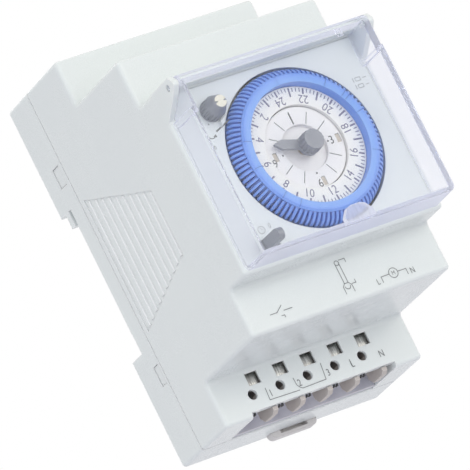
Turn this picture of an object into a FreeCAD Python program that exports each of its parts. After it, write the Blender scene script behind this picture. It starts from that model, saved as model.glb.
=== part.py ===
import FreeCAD, Part
import math
import os
from collections import namedtuple

import Sketcher

# A daily time switch for a 35 mm mounting rail. Millimetres, +Z up, +X to the right seen from the front.
# The origin is the middle of the face that seats on the rail. Depths are measured forward from
# that face, so a depth is minus Y. The dial turns about an axis parallel to Y.

Vector = FreeCAD.Vector
Placement = FreeCAD.Placement
Rotation = FreeCAD.Rotation
FORWARD = Vector(0, -1, 0)

doc = FreeCAD.newDocument("programmable_timer")
sheet = doc.addObject("Spreadsheet::Sheet", "dims")


# ---------------------------------------------------------------- sizes

class Size:
    """A number, and the expression that keeps it tied to the sheet."""

    def __init__(self, number, text):
        self.number = number
        self.text = text

    def __add__(self, other):
        return combine(self, "+", other)

    def __radd__(self, other):
        return combine(other, "+", self)

    def __sub__(self, other):
        return combine(self, "-", other)

    def __rsub__(self, other):
        return combine(other, "-", self)

    def __mul__(self, other):
        return combine(self, "*", other)

    def __rmul__(self, other):
        return combine(other, "*", self)

    def __truediv__(self, other):
        return combine(self, "/", other)

    def __neg__(self):
        return combine(0, "-", self)


def as_size(value):
    return value if isinstance(value, Size) else Size(float(value), f"({value})")


def combine(left, sign, right):
    left = as_size(left)
    right = as_size(right)
    results = {
        "+": left.number + right.number,
        "-": left.number - right.number,
        "*": left.number * right.number,
        "/": left.number / right.number if right.number else 0.0,
    }
    return Size(results[sign], f"({left.text} {sign} {right.text})")


def size(name, number):
    """Puts one driving dimension in the next row of the sheet."""
    row = len(sheet.getUsedCells()) // 2 + 1
    sheet.set(f"A{row}", name)
    sheet.set(f"B{row}", str(number))
    sheet.setAlias(f"B{row}", name)
    return Size(float(number), f"dims.{name}")


def tie(item, prop, value):
    value = as_size(value)
    if "dims." in value.text:
        item.setExpression(prop, value.text)
        return
    item.setExpression(prop, f"{value.number:.9g}")


# Case
case_width = size("case_width", 54)
case_height = size("case_height", 90)
wall = size("wall", 1.8)
back_depth = size("back_depth", 5.8)
seam_depth = size("seam_depth", 4.9)
upper_level_depth = size("upper_level_depth", 21.4)
lower_level_depth = size("lower_level_depth", 18.4)
shoulder_height = size("shoulder_height", 68)
shoulder_depth = size("shoulder_depth", 44.2)
nose_height = size("nose_height", 45)
nose_depth = size("nose_depth", 52.5)
outer_round = size("outer_round", 0.9)
seam_groove = size("seam_groove", 0.25)
seam_width = size("seam_width", 0.3)
half_width = case_width / 2
half_height = case_height / 2
half_shoulder = shoulder_height / 2
half_nose = nose_height / 2
inner_width = half_width - wall
inner_height = half_height - wall
inner_shoulder = half_shoulder - wall
inner_nose = half_nose - wall

# Clearances
gap = size("gap", 0.1)
running_gap = size("running_gap", 0.06)
press_gap = size("press_gap", 0.02)
free_gap = size("free_gap", 0.3)

# Rail slot and latch
rail_width = size("rail_width", 35)
rail_thickness = size("rail_thickness", 1.0)
slot_rise = size("slot_rise", 1.3)
seat_relief = size("seat_relief", 0.1)
hook_reach = size("hook_reach", 3.6)
hook_thickness = size("hook_thickness", 1.7)
latch_x = size("latch_x", 1.65)
latch_width = size("latch_width", 12.5)
latch_front = size("latch_front", -2.4)
latch_back = size("latch_back", -4.6)
latch_overhang = size("latch_overhang", 1.4)
latch_travel = size("latch_travel", 4.5)
latch_lip = size("latch_lip", 1.3)
latch_tooth = size("latch_tooth", 3.5)
latch_slot_width = size("latch_slot_width", 7.3)
latch_slot_height = size("latch_slot_height", 1.0)
latch_slot_floor = size("latch_slot_floor", 0.5)
latch_corner = size("latch_corner", 1.3)
spring_outer = size("spring_outer", 1.1)
spring_top = size("spring_top", -28)
spring_bottom = size("spring_bottom", -37)
spring_wire = size("spring_wire", 0.16)
spring_turns = size("spring_turns", 9)
stop_height = size("stop_height", 1.6)
window_half_width = size("window_half_width", 2.4)

# Snap joints between the shells
snap_upper = size("snap_upper", 24.9)
snap_lower = size("snap_lower", -25.4)
snap_width = size("snap_width", 4.8)
snap_upper_start = size("snap_upper_start", 0.4)
snap_upper_end = size("snap_upper_end", 3.5)
snap_lower_start = size("snap_lower_start", 1.8)
snap_lower_end = size("snap_lower_end", 4.0)
snap_root = size("snap_root", 9.0)
snap_thickness = size("snap_thickness", 1.3)
barb_gap = size("barb_gap", 0.12)
barb_sink = size("barb_sink", 0.15)

# Ribs on both sides
rib_count = 10
rib_first = size("rib_first", 8.0)
rib_pitch = size("rib_pitch", 2.72)
rib_width = size("rib_width", 1.4)
rib_recess = size("rib_recess", 0.3)
rib_round = size("rib_round", 0.25)
rib_top_rear = size("rib_top_rear", 15.9)
rib_top_front = size("rib_top_front", 6.9)
rib_bottom_rear = size("rib_bottom_rear", -15.4)
rib_bottom_front = size("rib_bottom_front", -8.9)
rib_margin = size("rib_margin", 0.5)

# Terminals
terminal_count = 5
terminal_pitch = size("terminal_pitch", 7.5)
terminal_first = size("terminal_first", -16.6)
release_shift = size("release_shift", 1.2)
release_width = size("release_width", 3.3)
release_height = size("release_height", 2.9)
release_rise = size("release_rise", 8.5)
release_skin = size("release_skin", 0.6)
release_room = size("release_room", 0.9)
probe_shift = size("probe_shift", -0.7)
probe_radius = size("probe_radius", 1.2)
probe_skin = size("probe_skin", 0.9)
probe_room = size("probe_room", 0.7)
probe_rise = size("probe_rise", 5.0)
entry_margin = size("entry_margin", 3.0)
entry_margin_right = size("entry_margin_right", 6.3)
entry_lip = size("entry_lip", 1.3)
entry_back = size("entry_back", 5.6)
insert_back = size("insert_back", 6.0)
insert_rise = size("insert_rise", 11.8)
insert_wall = size("insert_wall", 1.2)
ceiling_rise = size("ceiling_rise", 4.0)
wire_hole = size("wire_hole", 4.2)
wire_depth = size("wire_depth", 12.4)
clamp_width = size("clamp_width", 4.4)
clamp_sheet = size("clamp_sheet", 0.4)
clamp_foot = size("clamp_foot", 1.8)
press_pad = size("press_pad", 1.2)
divider_thickness = size("divider_thickness", 1.3)
divider_drop = size("divider_drop", 0.3)
divider_back = size("divider_back", 10.6)
divider_front = size("divider_front", 17.3)
clip_shift = size("clip_shift", 1.9)
clip_width = size("clip_width", 1.5)
clip_depth = size("clip_depth", 0.5)
busbar_width = size("busbar_width", 2.4)
busbar_sheet = size("busbar_sheet", 0.6)
release_z = release_rise - half_height
probe_z = probe_rise - half_height
insert_top = insert_rise - half_height
insert_ceiling = ceiling_rise - half_height

# Circuit board
board_back = size("board_back", 10.0)
board_thickness = size("board_thickness", 1.6)
board_margin = size("board_margin", 0.6)
post_inset = size("post_inset", 4.7)
post_inset_z = size("post_inset_z", 5.2)
post_radius = size("post_radius", 2.2)
stake_radius = size("stake_radius", 0.9)
board_front = board_back + board_thickness
half_board_x = inner_width - board_margin
half_board_z = inner_shoulder - board_margin
post_x = inner_width - post_inset
post_z = inner_shoulder - post_inset_z

# Parts on the board
capacitor_left = size("capacitor_left", -17)
capacitor_bottom = size("capacitor_bottom", -24)
capacitor_width = size("capacitor_width", 18)
capacitor_height = size("capacitor_height", 9)
capacitor_rise = size("capacitor_rise", 11)
resistor_columns = 3
resistor_rows = 3
resistor_left = size("resistor_left", 5)
resistor_top = size("resistor_top", -12)
resistor_length = size("resistor_length", 5)
resistor_radius = size("resistor_radius", 1.1)
resistor_pitch_x = size("resistor_pitch_x", 6)
resistor_pitch_z = size("resistor_pitch_z", 3.2)
chip_pins = 7
chip_left = size("chip_left", 2)
chip_bottom = size("chip_bottom", 4)
chip_width = size("chip_width", 10)
chip_height = size("chip_height", 4)
chip_stand = size("chip_stand", 0.4)
chip_rise = size("chip_rise", 1.6)
chip_pin_first = size("chip_pin_first", 0.8)
chip_pin_pitch = size("chip_pin_pitch", 1.27)
chip_pin_width = size("chip_pin_width", 0.4)
chip_pin_reach = size("chip_pin_reach", 1.4)
chip_pin_rise = size("chip_pin_rise", 0.6)
crystal_left = size("crystal_left", 15)
crystal_bottom = size("crystal_bottom", 2.4)
crystal_width = size("crystal_width", 7)
crystal_height = size("crystal_height", 3)
crystal_rise = size("crystal_rise", 3.2)
crystal_round = size("crystal_round", 1.2)
cell_x = size("cell_x", -14)
cell_z = size("cell_z", 20)
cell_radius = size("cell_radius", 5.8)
cell_rise = size("cell_rise", 5.4)
cell_round = size("cell_round", 0.7)
cell_lid_radius = size("cell_lid_radius", 4.6)
cell_lid = size("cell_lid", 0.3)

# Hinge ears and cover
ear_thickness = size("ear_thickness", 1.4)
ear_start = size("ear_start", 15.0)
ear_front = size("ear_front", 60.9)
ear_slope = size("ear_slope", 2.0)
ear_nose = size("ear_nose", 0.4)
ear_top = size("ear_top", 1.3)
ear_round = size("ear_round", 0.6)
hinge_depth = size("hinge_depth", 58.2)
hinge_z = size("hinge_z", 20.6)
hinge_pin = size("hinge_pin", 0.7)
pin_recess = size("pin_recess", 0.5)
hinge_wall_front = size("hinge_wall_front", 55.7)
hinge_wall_base = size("hinge_wall_base", 21.1)
cover_front = size("cover_front", 61.6)
cover_skin = size("cover_skin", 1.2)
cover_taper = size("cover_taper", 0.25)
cover_inset = size("cover_inset", 0.7)
cover_bottom = size("cover_bottom", -21.9)
cover_bottom_front = size("cover_bottom_front", -21.8)
cover_top = size("cover_top", 22.3)
cover_top_front = size("cover_top_front", 21.3)
cover_neck = size("cover_neck", 14.3)
cover_lid_back = size("cover_lid_back", 56.3)
roof_break = size("roof_break", 2.0)
cover_foot = size("cover_foot", 2.1)
cover_round = size("cover_round", 0.8)
cover_corner = size("cover_corner", 1.3)
tab_width = size("tab_width", 7.7)
tab_x = size("tab_x", -0.4)
tab_height = size("tab_height", 3.7)
tab_reach = size("tab_reach", 1.2)
tab_side = size("tab_side", 1.5)
tab_shoulder = size("tab_shoulder", 2.4)
tab_tip = size("tab_tip", 1.15)
tab_chamfer = size("tab_chamfer", 0.4)
notch_x = size("notch_x", 16.9)
notch_z = size("notch_z", 19.8)
notch_width = size("notch_width", 1.2)
notch_height = size("notch_height", 1.8)
notch_depth = size("notch_depth", 0.7)

# Front panel
panel_thickness = size("panel_thickness", 1.6)
panel_ledge = size("panel_ledge", 1.6)
ledge_reach = size("ledge_reach", 1.6)
ledge_reach_z = size("ledge_reach_z", 0.9)
ledge_corner = size("ledge_corner", 3.4)
dial_x = size("dial_x", 1.4)
panel_hole = size("panel_hole", 19.1)
panel_back = nose_depth - panel_thickness
ledge_back = panel_back - panel_ledge

# Dial
segment_count = 96
moving_segments = 8
first_moving = 62
bush_radius = size("bush_radius", 3.6)
bush_front = size("bush_front", 50.3)
bush_bore = size("bush_bore", 2.0)
web_back = size("web_back", 48.9)
web_thickness = size("web_thickness", 1.0)
flange_radius = size("flange_radius", 18.2)
core_inner = size("core_inner", 14.3)
core_outer = size("core_outer", 15.5)
cap_radius = size("cap_radius", 16.5)
cap_back = size("cap_back", 55.0)
cap_front = size("cap_front", 55.6)
cap_step = size("cap_step", 0.25)
fin_thickness = size("fin_thickness", 0.24)
fin_radius = size("fin_radius", 17.6)
fin_top = size("fin_top", 16.1)
fin_shoulder = size("fin_shoulder", 52.0)
segment_thickness = size("segment_thickness", 0.58)
segment_inner = size("segment_inner", 15.9)
segment_outer = size("segment_outer", 18.6)
segment_foot = size("segment_foot", 17.4)
segment_back = size("segment_back", 50.4)
segment_shoulder = size("segment_shoulder", 52.3)
segment_top = size("segment_top", 16.55)
segment_front = size("segment_front", 54.85)
crown_depth = size("crown_depth", 54.1)
crown_radius = size("crown_radius", 18.2)
crown_steps = 5
scale_inner = size("scale_inner", 9.9)
scale_front = size("scale_front", 53.2)
scale_thickness = size("scale_thickness", 0.8)
scale_wall = size("scale_wall", 0.8)
face_front = size("face_front", 52.4)
face_recess = size("face_recess", 1.0)
face_recess_radius = size("face_recess_radius", 5.5)
web_front = web_back + web_thickness
face_radius = scale_inner - 2 * gap

# Hand and arbors
arbor_radius = size("arbor_radius", 1.0)
pivot_radius = size("pivot_radius", 0.5)
knob_back = size("knob_back", 53.5)
knob_front = size("knob_front", 57.2)
knob_radius = size("knob_radius", 2.55)
knob_taper = size("knob_taper", 0.2)
knob_cap = size("knob_cap", 0.9)
arbor_lead = size("arbor_lead", 1.8)
hand_length = size("hand_length", 8.3)
hand_width = size("hand_width", 2.2)
hand_point = size("hand_point", 1.8)
hand_tip = size("hand_tip", 0.3)
hand_thickness = size("hand_thickness", 0.8)
hand_angle = size("hand_angle", 73.8)
flute_radius = size("flute_radius", 0.3)
flute_count = 16

# Movement
fine_module = size("fine_module", 0.25)
dial_teeth = 120
motion_pinion_teeth = 10
minute_teeth = 20
motion_teeth = 40
clutch_teeth = 60
transfer_teeth = 60
small_pinion_teeth = 10
front_plate_back = size("front_plate_back", 44.5)
rear_plate_back = size("rear_plate_back", 28.0)
plate_thickness = size("plate_thickness", 1.0)
dial_gear_thickness = size("dial_gear_thickness", 1.3)
wheel_thickness = size("wheel_thickness", 1.2)
pinion_length = size("pinion_length", 1.6)
motion_depth = size("motion_depth", 40.0)
clutch_depth = size("clutch_depth", 37.0)
transfer_depth = size("transfer_depth", 33.6)
rotor_depth = size("rotor_depth", 30.4)
rotor_length = size("rotor_length", 2.6)
rotor_radius = size("rotor_radius", 3.4)
stator_gap = size("stator_gap", 0.6)
stator_inset = size("stator_inset", 0.8)
stator_half = size("stator_half", 6.4)
stator_reach = size("stator_reach", 5.6)
stator_leg = size("stator_leg", 2.8)
coil_room = size("coil_room", 7.0)
bar_height = size("bar_height", 3.0)
bobbin_wall = size("bobbin_wall", 0.8)
bobbin_gap = size("bobbin_gap", 0.2)
flange_reach = size("flange_reach", 3.0)
flange_drop = size("flange_drop", 3.2)
flange_rise = size("flange_rise", 1.4)
winding_inset = size("winding_inset", 0.4)
transfer_angle = size("transfer_angle", 31)
rotor_angle = size("rotor_angle", 60)
pillar_radius = size("pillar_radius", 1.7)
screw_radius = size("screw_radius", 1.0)
screw_head = size("screw_head", 1.8)
screw_head_height = size("screw_head_height", 1.2)
corner_post_inset = size("corner_post_inset", 2.4)
corner_post_radius = size("corner_post_radius", 2.0)
pillar_places = (
    (size("pillar_1_x", -7.5), size("pillar_1_z", 17.5)),
    (size("pillar_2_x", 22.5), size("pillar_2_z", 3.0)),
    (size("pillar_3_x", -10.5), size("pillar_3_z", -4.5)),
    (size("pillar_4_x", 17.0), size("pillar_4_z", -16.5)),
)
corner_post_x = inner_width - corner_post_inset
corner_post_z = inner_nose - corner_post_inset
gear_dedendum = 1.15
gear_addendum = 0.85
tooth_root_share = 0.27
tooth_tip_share = 0.11
motion_shaft = size("motion_shaft", 0.8)
motor_shaft = size("motor_shaft", 0.7)
washer_radius = size("washer_radius", 3.4)
washer_top = size("washer_top", 1.6)
washer_sheet = size("washer_sheet", 0.3)
rear_plate_left = size("rear_plate_left", -12.5)
half_rear_plate = size("half_rear_plate", 20.5)
bush_wall = size("bush_wall", 0.9)
motion_distance = fine_module * ((dial_teeth + motion_pinion_teeth) / 2)
coarse_module = motion_distance * (2 / (minute_teeth + motion_teeth))
fine_distance = fine_module * ((clutch_teeth + small_pinion_teeth) / 2)
front_plate_front = front_plate_back + plate_thickness
rear_plate_front = rear_plate_back + plate_thickness

# Override knob, mode lever and feeler
override_x = size("override_x", -16.45)
override_z = size("override_z", 14.35)
override_radius = size("override_radius", 2.6)
override_shoulder = size("override_shoulder", 55.2)
override_neck = size("override_neck", 1.85)
override_neck_back = size("override_neck_back", 57.0)
override_nose = size("override_nose", 1.7)
override_front = size("override_front", 58.0)
override_shaft = size("override_shaft", 1.6)
override_foot = size("override_foot", 0.6)
cam_radius = size("cam_radius", 2.0)
cam_thickness = size("cam_thickness", 1.5)
cam_flat = size("cam_flat", 0.3)
lever_inset = size("lever_inset", 6.55)
lever_rise = size("lever_rise", 2.85)
lever_thickness = size("lever_thickness", 1.5)
lever_width = size("lever_width", 2.7)
lever_front = size("lever_front", 59.7)
lever_round = size("lever_round", 1.25)
lever_travel = size("lever_travel", 2.3)
lever_flange = size("lever_flange", 0.7)
lever_lip = size("lever_lip", 0.4)
lever_x = lever_inset - inner_width
lever_z = lever_rise - inner_nose
rocker_x = size("rocker_x", -21.2)
rocker_z = size("rocker_z", 8.2)
rocker_axle = size("rocker_axle", 0.9)
rocker_thickness = size("rocker_thickness", 1.4)
rocker_finger = size("rocker_finger", 0.45)
pointer_radius = size("pointer_radius", 19.3)
pointer_angle = size("pointer_angle", 49)
pointer_height = size("pointer_height", 1.0)
pointer_spread = size("pointer_spread", 1.3)
pointer_lean = size("pointer_lean", 7)
switch_left = size("switch_left", -24.6)
switch_right = size("switch_right", -11.4)
switch_bottom = size("switch_bottom", 3.6)
switch_top = size("switch_top", 16.2)
switch_back = size("switch_back", 31.0)
switch_wall = size("switch_wall", 1.2)
blade_places = (
    (size("blade_1_x", -13.3), size("blade_1_z", 11.4)),
    (size("blade_2_x", -13.3), size("blade_2_z", 6.0)),
    (size("blade_3_x", -23.0), size("blade_3_z", 13.4)),
)
blade_sheet = size("blade_sheet", 0.4)
blade_width = size("blade_width", 2.2)
blade_length = size("blade_length", 8.0)
arm_hub = size("arm_hub", 3.2)
arm_hub_length = size("arm_hub_length", 3.0)
arm_back = size("arm_back", 5.0)
arm_reach = size("arm_reach", 7.4)
arm_sheet = size("arm_sheet", 0.8)
arm_width = size("arm_width", 1.8)
arm_step = size("arm_step", 0.6)
arm_contact = size("arm_contact", 1.6)


# ---------------------------------------------------------------- sketches and bodies

Circle = namedtuple("Circle", "across up radius")
Facing = namedtuple("Facing", "plane swap")

# Each way a sketch can face, and the sign of its first coordinate. A depth runs along minus Y.
FACINGS = {"front": Facing("XZ_Plane", 1), "side": Facing("YZ_Plane", -1), "top": Facing("XY_Plane", 1)}


def rectangle(left, right, low, high):
    return [(left, low), (right, low), (right, high), (left, high)]


def plane_point(facing, point):
    """Turns a point of an outline into the coordinates of its sketch."""
    across, up = point
    if facing == "side":
        return -as_size(across), as_size(up)
    if facing == "top":
        return as_size(across), -as_size(up)
    return as_size(across), as_size(up)


def hold_point(sketch, line, point):
    for kind, value in (("DistanceX", point[0]), ("DistanceY", point[1])):
        index = sketch.addConstraint(Sketcher.Constraint(kind, -1, 1, line, 1, value.number))
        tie(sketch, f"Constraints[{index}]", value)


def draw_polygon(sketch, points):
    first = sketch.GeometryCount
    count = len(points)
    for index, start in enumerate(points):
        end = points[(index + 1) % count]
        start_at = Vector(start[0].number, start[1].number, 0)
        end_at = Vector(end[0].number, end[1].number, 0)
        sketch.addGeometry(Part.LineSegment(start_at, end_at), False)
    for index in range(count):
        following = first + (index + 1) % count
        sketch.addConstraint(Sketcher.Constraint("Coincident", first + index, 2, following, 1))
    for index, point in enumerate(points):
        hold_point(sketch, first + index, point)


def draw_circle(sketch, centre, radius):
    centre_at = Vector(centre[0].number, centre[1].number, 0)
    line = sketch.addGeometry(Part.Circle(centre_at, Vector(0, 0, 1), radius.number), False)
    for kind, value in (("DistanceX", centre[0]), ("DistanceY", centre[1])):
        index = sketch.addConstraint(Sketcher.Constraint(kind, -1, 1, line, 3, value.number))
        tie(sketch, f"Constraints[{index}]", value)
    index = sketch.addConstraint(Sketcher.Constraint("Radius", line, radius.number))
    tie(sketch, f"Constraints[{index}]", radius)


class Piece:
    """A body whose sketches face front, side or top, about an axis of its own at x, z."""

    def __init__(self, name, x=0, z=0):
        self.name = name
        self.body = doc.addObject("PartDesign::Body", name)
        self.body.Label = name
        self.x = as_size(x)
        self.z = as_size(z)

    def sketch(self, facing, outlines, start):
        sketch = self.body.newObject("Sketcher::SketchObject", f"{self.name}_sketch")
        role = FACINGS[facing].plane
        plane = [item for item in self.body.Origin.OriginFeatures if item.Role == role][0]
        sketch.AttachmentSupport = (plane, [""])
        sketch.MapMode = "FlatFace"
        offsets = {"front": (self.x, self.z), "side": (as_size(0), self.z), "top": (self.x, as_size(0))}
        tie(sketch, "AttachmentOffset.Base.x", offsets[facing][0])
        tie(sketch, "AttachmentOffset.Base.y", offsets[facing][1])
        tie(sketch, "AttachmentOffset.Base.z", start)
        for outline in outlines:
            if isinstance(outline, Circle):
                centre = plane_point(facing, (outline.across, outline.up))
                draw_circle(sketch, centre, as_size(outline.radius))
            else:
                draw_polygon(sketch, [plane_point(facing, point) for point in outline])
        return sketch

    def add(self, facing, outlines, start, length):
        feature = self.body.newObject("PartDesign::Pad", f"{self.name}_pad")
        feature.Profile = self.sketch(facing, outlines, start)
        tie(feature, "Length", length)
        return feature

    def cut(self, facing, outlines, start, length):
        doc.recompute()
        before = self.body.Shape.Volume
        feature = self.body.newObject("PartDesign::Pocket", f"{self.name}_pocket")
        feature.Profile = self.sketch(facing, outlines, start)
        feature.Reversed = True
        tie(feature, "Length", length)
        doc.recompute()
        if self.body.Shape.Volume >= before:
            raise ValueError(f"a pocket of {self.name} removes nothing")
        return feature

    def turn(self, kind, outline):
        """Turns an outline of (depth, radius) points about the body's own axis."""
        feature = self.body.newObject(f"PartDesign::{kind}", f"{self.name}_{kind.lower()}")
        feature.Profile = self.sketch("side", [outline], self.x)
        self.axis = (feature.Profile[0], ["H_Axis"])
        feature.ReferenceAxis = self.axis
        feature.Angle = 360
        return feature

    def repeat(self, feature, count):
        """Repeats a feature round the axis that the body was turned about."""
        pattern = self.body.newObject("PartDesign::PolarPattern", f"{self.name}_pattern")
        pattern.Originals = [feature]
        pattern.Axis = self.axis
        pattern.Angle = 360
        pattern.Occurrences = count
        self.body.Tip = pattern
        return pattern

    def edges(self, wanted):
        doc.recompute()
        shape = self.body.Tip.Shape
        return [f"Edge{index + 1}" for index, edge in enumerate(shape.Edges) if wanted(edge)]

    def dress(self, kind, value, wanted):
        names = self.edges(wanted)
        base = self.body.Tip
        feature = self.body.newObject(f"PartDesign::{kind}", f"{self.name}_{kind.lower()}")
        feature.Base = (base, names)
        tie(feature, "Radius" if kind == "Fillet" else "Size", value)
        return feature

    def round(self, radius, wanted):
        return self.dress("Fillet", radius, wanted)

    def bevel(self, length, wanted):
        return self.dress("Chamfer", length, wanted)


def runs_along(edge, axis):
    """True for a straight edge parallel to the axis x, y or z."""
    if len(edge.Vertexes) != 2:
        return False
    span = edge.Vertexes[1].Point - edge.Vertexes[0].Point
    straight = abs(span.Length - edge.Length) < 1e-6
    return straight and abs(getattr(span, axis)) > 0.999 * span.Length


def lies_at(edge, **places):
    """True if the middle of the edge has the given x, depth or z."""
    middle = edge.CenterOfMass
    found = {"x": middle.x, "depth": -middle.y, "z": middle.z}
    return all(abs(found[key] - as_size(value).number) < 0.01 for key, value in places.items())


# ---------------------------------------------------------------- plain solids

def scratch_name(kind):
    return f"{kind}_{len(doc.Objects)}"


def block(left, right, back, front, low, high):
    box = doc.addObject("Part::Box", scratch_name("block"))
    tie(box, "Length", right - as_size(left))
    tie(box, "Width", front - as_size(back))
    tie(box, "Height", high - as_size(low))
    tie(box, "Placement.Base.x", left)
    tie(box, "Placement.Base.y", -as_size(front))
    tie(box, "Placement.Base.z", low)
    return box


def rod(x, z, back, front, radius):
    cylinder = doc.addObject("Part::Cylinder", scratch_name("rod"))
    cylinder.Placement = Placement(Vector(), Rotation(Vector(1, 0, 0), 90))
    tie(cylinder, "Radius", radius)
    tie(cylinder, "Height", front - as_size(back))
    tie(cylinder, "Placement.Base.x", x)
    tie(cylinder, "Placement.Base.y", -as_size(back))
    tie(cylinder, "Placement.Base.z", z)
    return cylinder


def cross_rod(left, right, depth, z, radius):
    cylinder = doc.addObject("Part::Cylinder", scratch_name("cross_rod"))
    cylinder.Placement = Placement(Vector(), Rotation(Vector(0, 1, 0), 90))
    tie(cylinder, "Radius", radius)
    tie(cylinder, "Height", right - as_size(left))
    tie(cylinder, "Placement.Base.x", left)
    tie(cylinder, "Placement.Base.y", -as_size(depth))
    tie(cylinder, "Placement.Base.z", z)
    return cylinder


def fuse(solids, name=None):
    joined = doc.addObject("Part::MultiFuse", name or scratch_name("fuse"))
    joined.Shapes = solids
    joined.Refine = True
    return joined


def subtract(base, tools, name=None):
    result = doc.addObject("Part::Cut", name or scratch_name("cut"))
    result.Base = base
    result.Tool = tools[0] if len(tools) == 1 else fuse(tools)
    return result


def group(solids, name):
    together = doc.addObject("Part::Compound", name)
    together.Links = solids
    return together


def terminal_x(index, shift=0):
    return terminal_first + terminal_pitch * index + shift


def polar(centre_x, centre_z, distance, degrees):
    """A point at a distance from a centre, at an angle from +X towards +Z."""
    angle = as_size(degrees)
    radians = math.radians(angle.number)
    distance = as_size(distance)
    across = Size(distance.number * math.cos(radians), f"({distance.text} * cos({angle.text}))")
    up = Size(distance.number * math.sin(radians), f"({distance.text} * sin({angle.text}))")
    return centre_x + across, centre_z + up


# ---------------------------------------------------------------- rear housing and rail latch

seat_floor = wall
hook_face = -rail_thickness - gap
hook_back = hook_face - hook_thickness
slot_top = rail_width / 2 + gap
slot_bottom = -rail_width / 2 - slot_rise
hook_z = slot_top - hook_reach
tooth_top = latch_tooth - rail_width / 2
latch_left = latch_x - latch_width / 2
latch_right = latch_x + latch_width / 2
deep_floor = wall - back_depth
channel_side = gap + wall


def snap_windows():
    half = snap_width / 2
    upper = rectangle(snap_upper_start, snap_upper_end, snap_upper - half, snap_upper + half)
    lower = rectangle(snap_lower_start, snap_lower_end, snap_lower - half, snap_lower + half)
    return [upper, lower]


def make_rear_housing():
    piece = Piece("rear_housing")
    outline = [
        (seam_depth, half_height), (-back_depth, half_height), (-back_depth, slot_top),
        (hook_back, slot_top), (hook_back, hook_z), (hook_face, hook_z), (hook_face, slot_top),
        (seat_relief, slot_top), (seat_relief, hook_z - gap), (0, hook_z - gap), (0, tooth_top + gap),
        (seat_relief, tooth_top + gap), (seat_relief, slot_bottom), (-back_depth, slot_bottom),
        (-back_depth, -half_height), (seam_depth, -half_height),
    ]
    piece.add("side", [outline], -half_width, case_width)
    piece.round(outer_round, is_rear_corner)
    cut_rear_cavity(piece)
    cut_latch_channel(piece)
    piece.cut("side", snap_windows(), -half_width, wall)
    piece.cut("side", snap_windows(), inner_width, wall)
    posts = [Circle(x, z, post_radius) for x in (-post_x, post_x) for z in (-post_z, post_z)]
    piece.add("front", posts, deep_floor, board_back - deep_floor)
    stakes = [Circle(post.across, post.up, stake_radius) for post in posts]
    piece.add("front", stakes, board_back, board_thickness + stake_radius)
    stop = rectangle(latch_x - window_half_width + gap, latch_x + window_half_width - gap,
                     spring_bottom - stop_height, spring_bottom)
    piece.add("front", [stop], latch_back, latch_front - latch_back + gap + gap)


def is_rear_corner(edge):
    if lies_at(edge, depth=-back_depth) and runs_along(edge, "z"):
        return True
    ends = lies_at(edge, z=half_height) or lies_at(edge, z=-half_height)
    if runs_along(edge, "x"):
        return ends and lies_at(edge, depth=-back_depth)
    return runs_along(edge, "y") and ends


def cut_rear_cavity(piece):
    """The shallow room behind the seat, and the deeper rooms beside the latch and above the slot."""
    room = rectangle(-inner_width, inner_width, -inner_height, inner_height)
    piece.cut("front", [room], seat_floor, seam_depth - seat_floor)
    above = rectangle(-inner_width, inner_width, slot_top + wall, inner_height)
    low = slot_bottom - wall
    left = rectangle(-inner_width, latch_left - channel_side, -inner_height, low)
    right = rectangle(latch_right + channel_side, inner_width, -inner_height, low)
    piece.cut("front", [above, left, right], deep_floor, seat_floor - deep_floor)


def cut_latch_channel(piece):
    """A T shaped channel that is open at the bottom, at the back and into the rail slot."""
    bottom = -half_height - gap
    wide = rectangle(latch_left - gap, latch_right + gap, bottom, slot_bottom + gap)
    piece.cut("front", [wide], latch_back - gap, latch_front - latch_back + gap + gap)
    mouth = rectangle(latch_left + latch_lip, latch_right - latch_lip, bottom, slot_bottom + gap)
    piece.cut("front", [mouth], -back_depth - gap, back_depth + latch_back + gap)
    tooth_room = rectangle(latch_left - gap, latch_right + gap,
                           slot_bottom - latch_travel - free_gap, slot_bottom + gap)
    piece.cut("front", [tooth_room], latch_front, hook_face - latch_front + gap + gap)


def make_rail_latch():
    """The sliding foot: a plate with a tooth behind the rail, a spring window and a blind tool slot."""
    piece = Piece("rail_latch")
    bottom = -half_height - latch_overhang
    tooth_base = slot_bottom - free_gap
    plate = rectangle(latch_left, latch_right, bottom, tooth_base)
    piece.add("front", [plate], latch_back, latch_front - latch_back)
    tooth = [(latch_back, tooth_base), (hook_face, tooth_base), (hook_face, tooth_top - gap),
             (latch_front, tooth_top), (latch_back, tooth_top - 2 * gap)]
    piece.add("side", [tooth], latch_left, latch_width)
    piece.round(latch_corner, lambda edge: runs_along(edge, "y") and lies_at(edge, z=bottom))
    window = rectangle(latch_x - window_half_width, latch_x + window_half_width,
                       spring_bottom - stop_height - latch_travel - 2 * gap, spring_top)
    piece.cut("front", [window], latch_back, latch_front - latch_back)
    half_slot = latch_slot_width / 2
    slot_z = -half_height - latch_overhang / 2
    slot = rectangle(latch_x - half_slot, latch_x + half_slot, slot_z, slot_z + latch_slot_height)
    floor = latch_back + latch_slot_floor
    piece.cut("front", [slot], floor, latch_front - floor)


def make_latch_spring():
    """A compression coil between the fixed stop and the top of the latch's window."""
    height = spring_top.number - spring_bottom.number - 2 * spring_wire.number
    radius = (spring_outer - spring_wire).number
    helix = Part.makeHelix(height / spring_turns.number, height, radius)
    start = Part.Wire([Part.makeCircle(spring_wire.number, Vector(radius, 0, 0), Vector(0, 1, 0))])
    coil = Part.Wire(helix.Edges).makePipeShell([start], True, True)
    spring = doc.addObject("Part::Feature", "latch_spring")
    spring.Shape = coil
    depth = (latch_front + latch_back) / 2
    base = Vector(latch_x.number, -depth.number, spring_bottom.number + spring_wire.number)
    spring.Placement = Placement(base, Rotation())


# ---------------------------------------------------------------- front housing

entry_left = terminal_x(0) - entry_margin
entry_right = terminal_x(terminal_count - 1) + entry_margin_right


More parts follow.
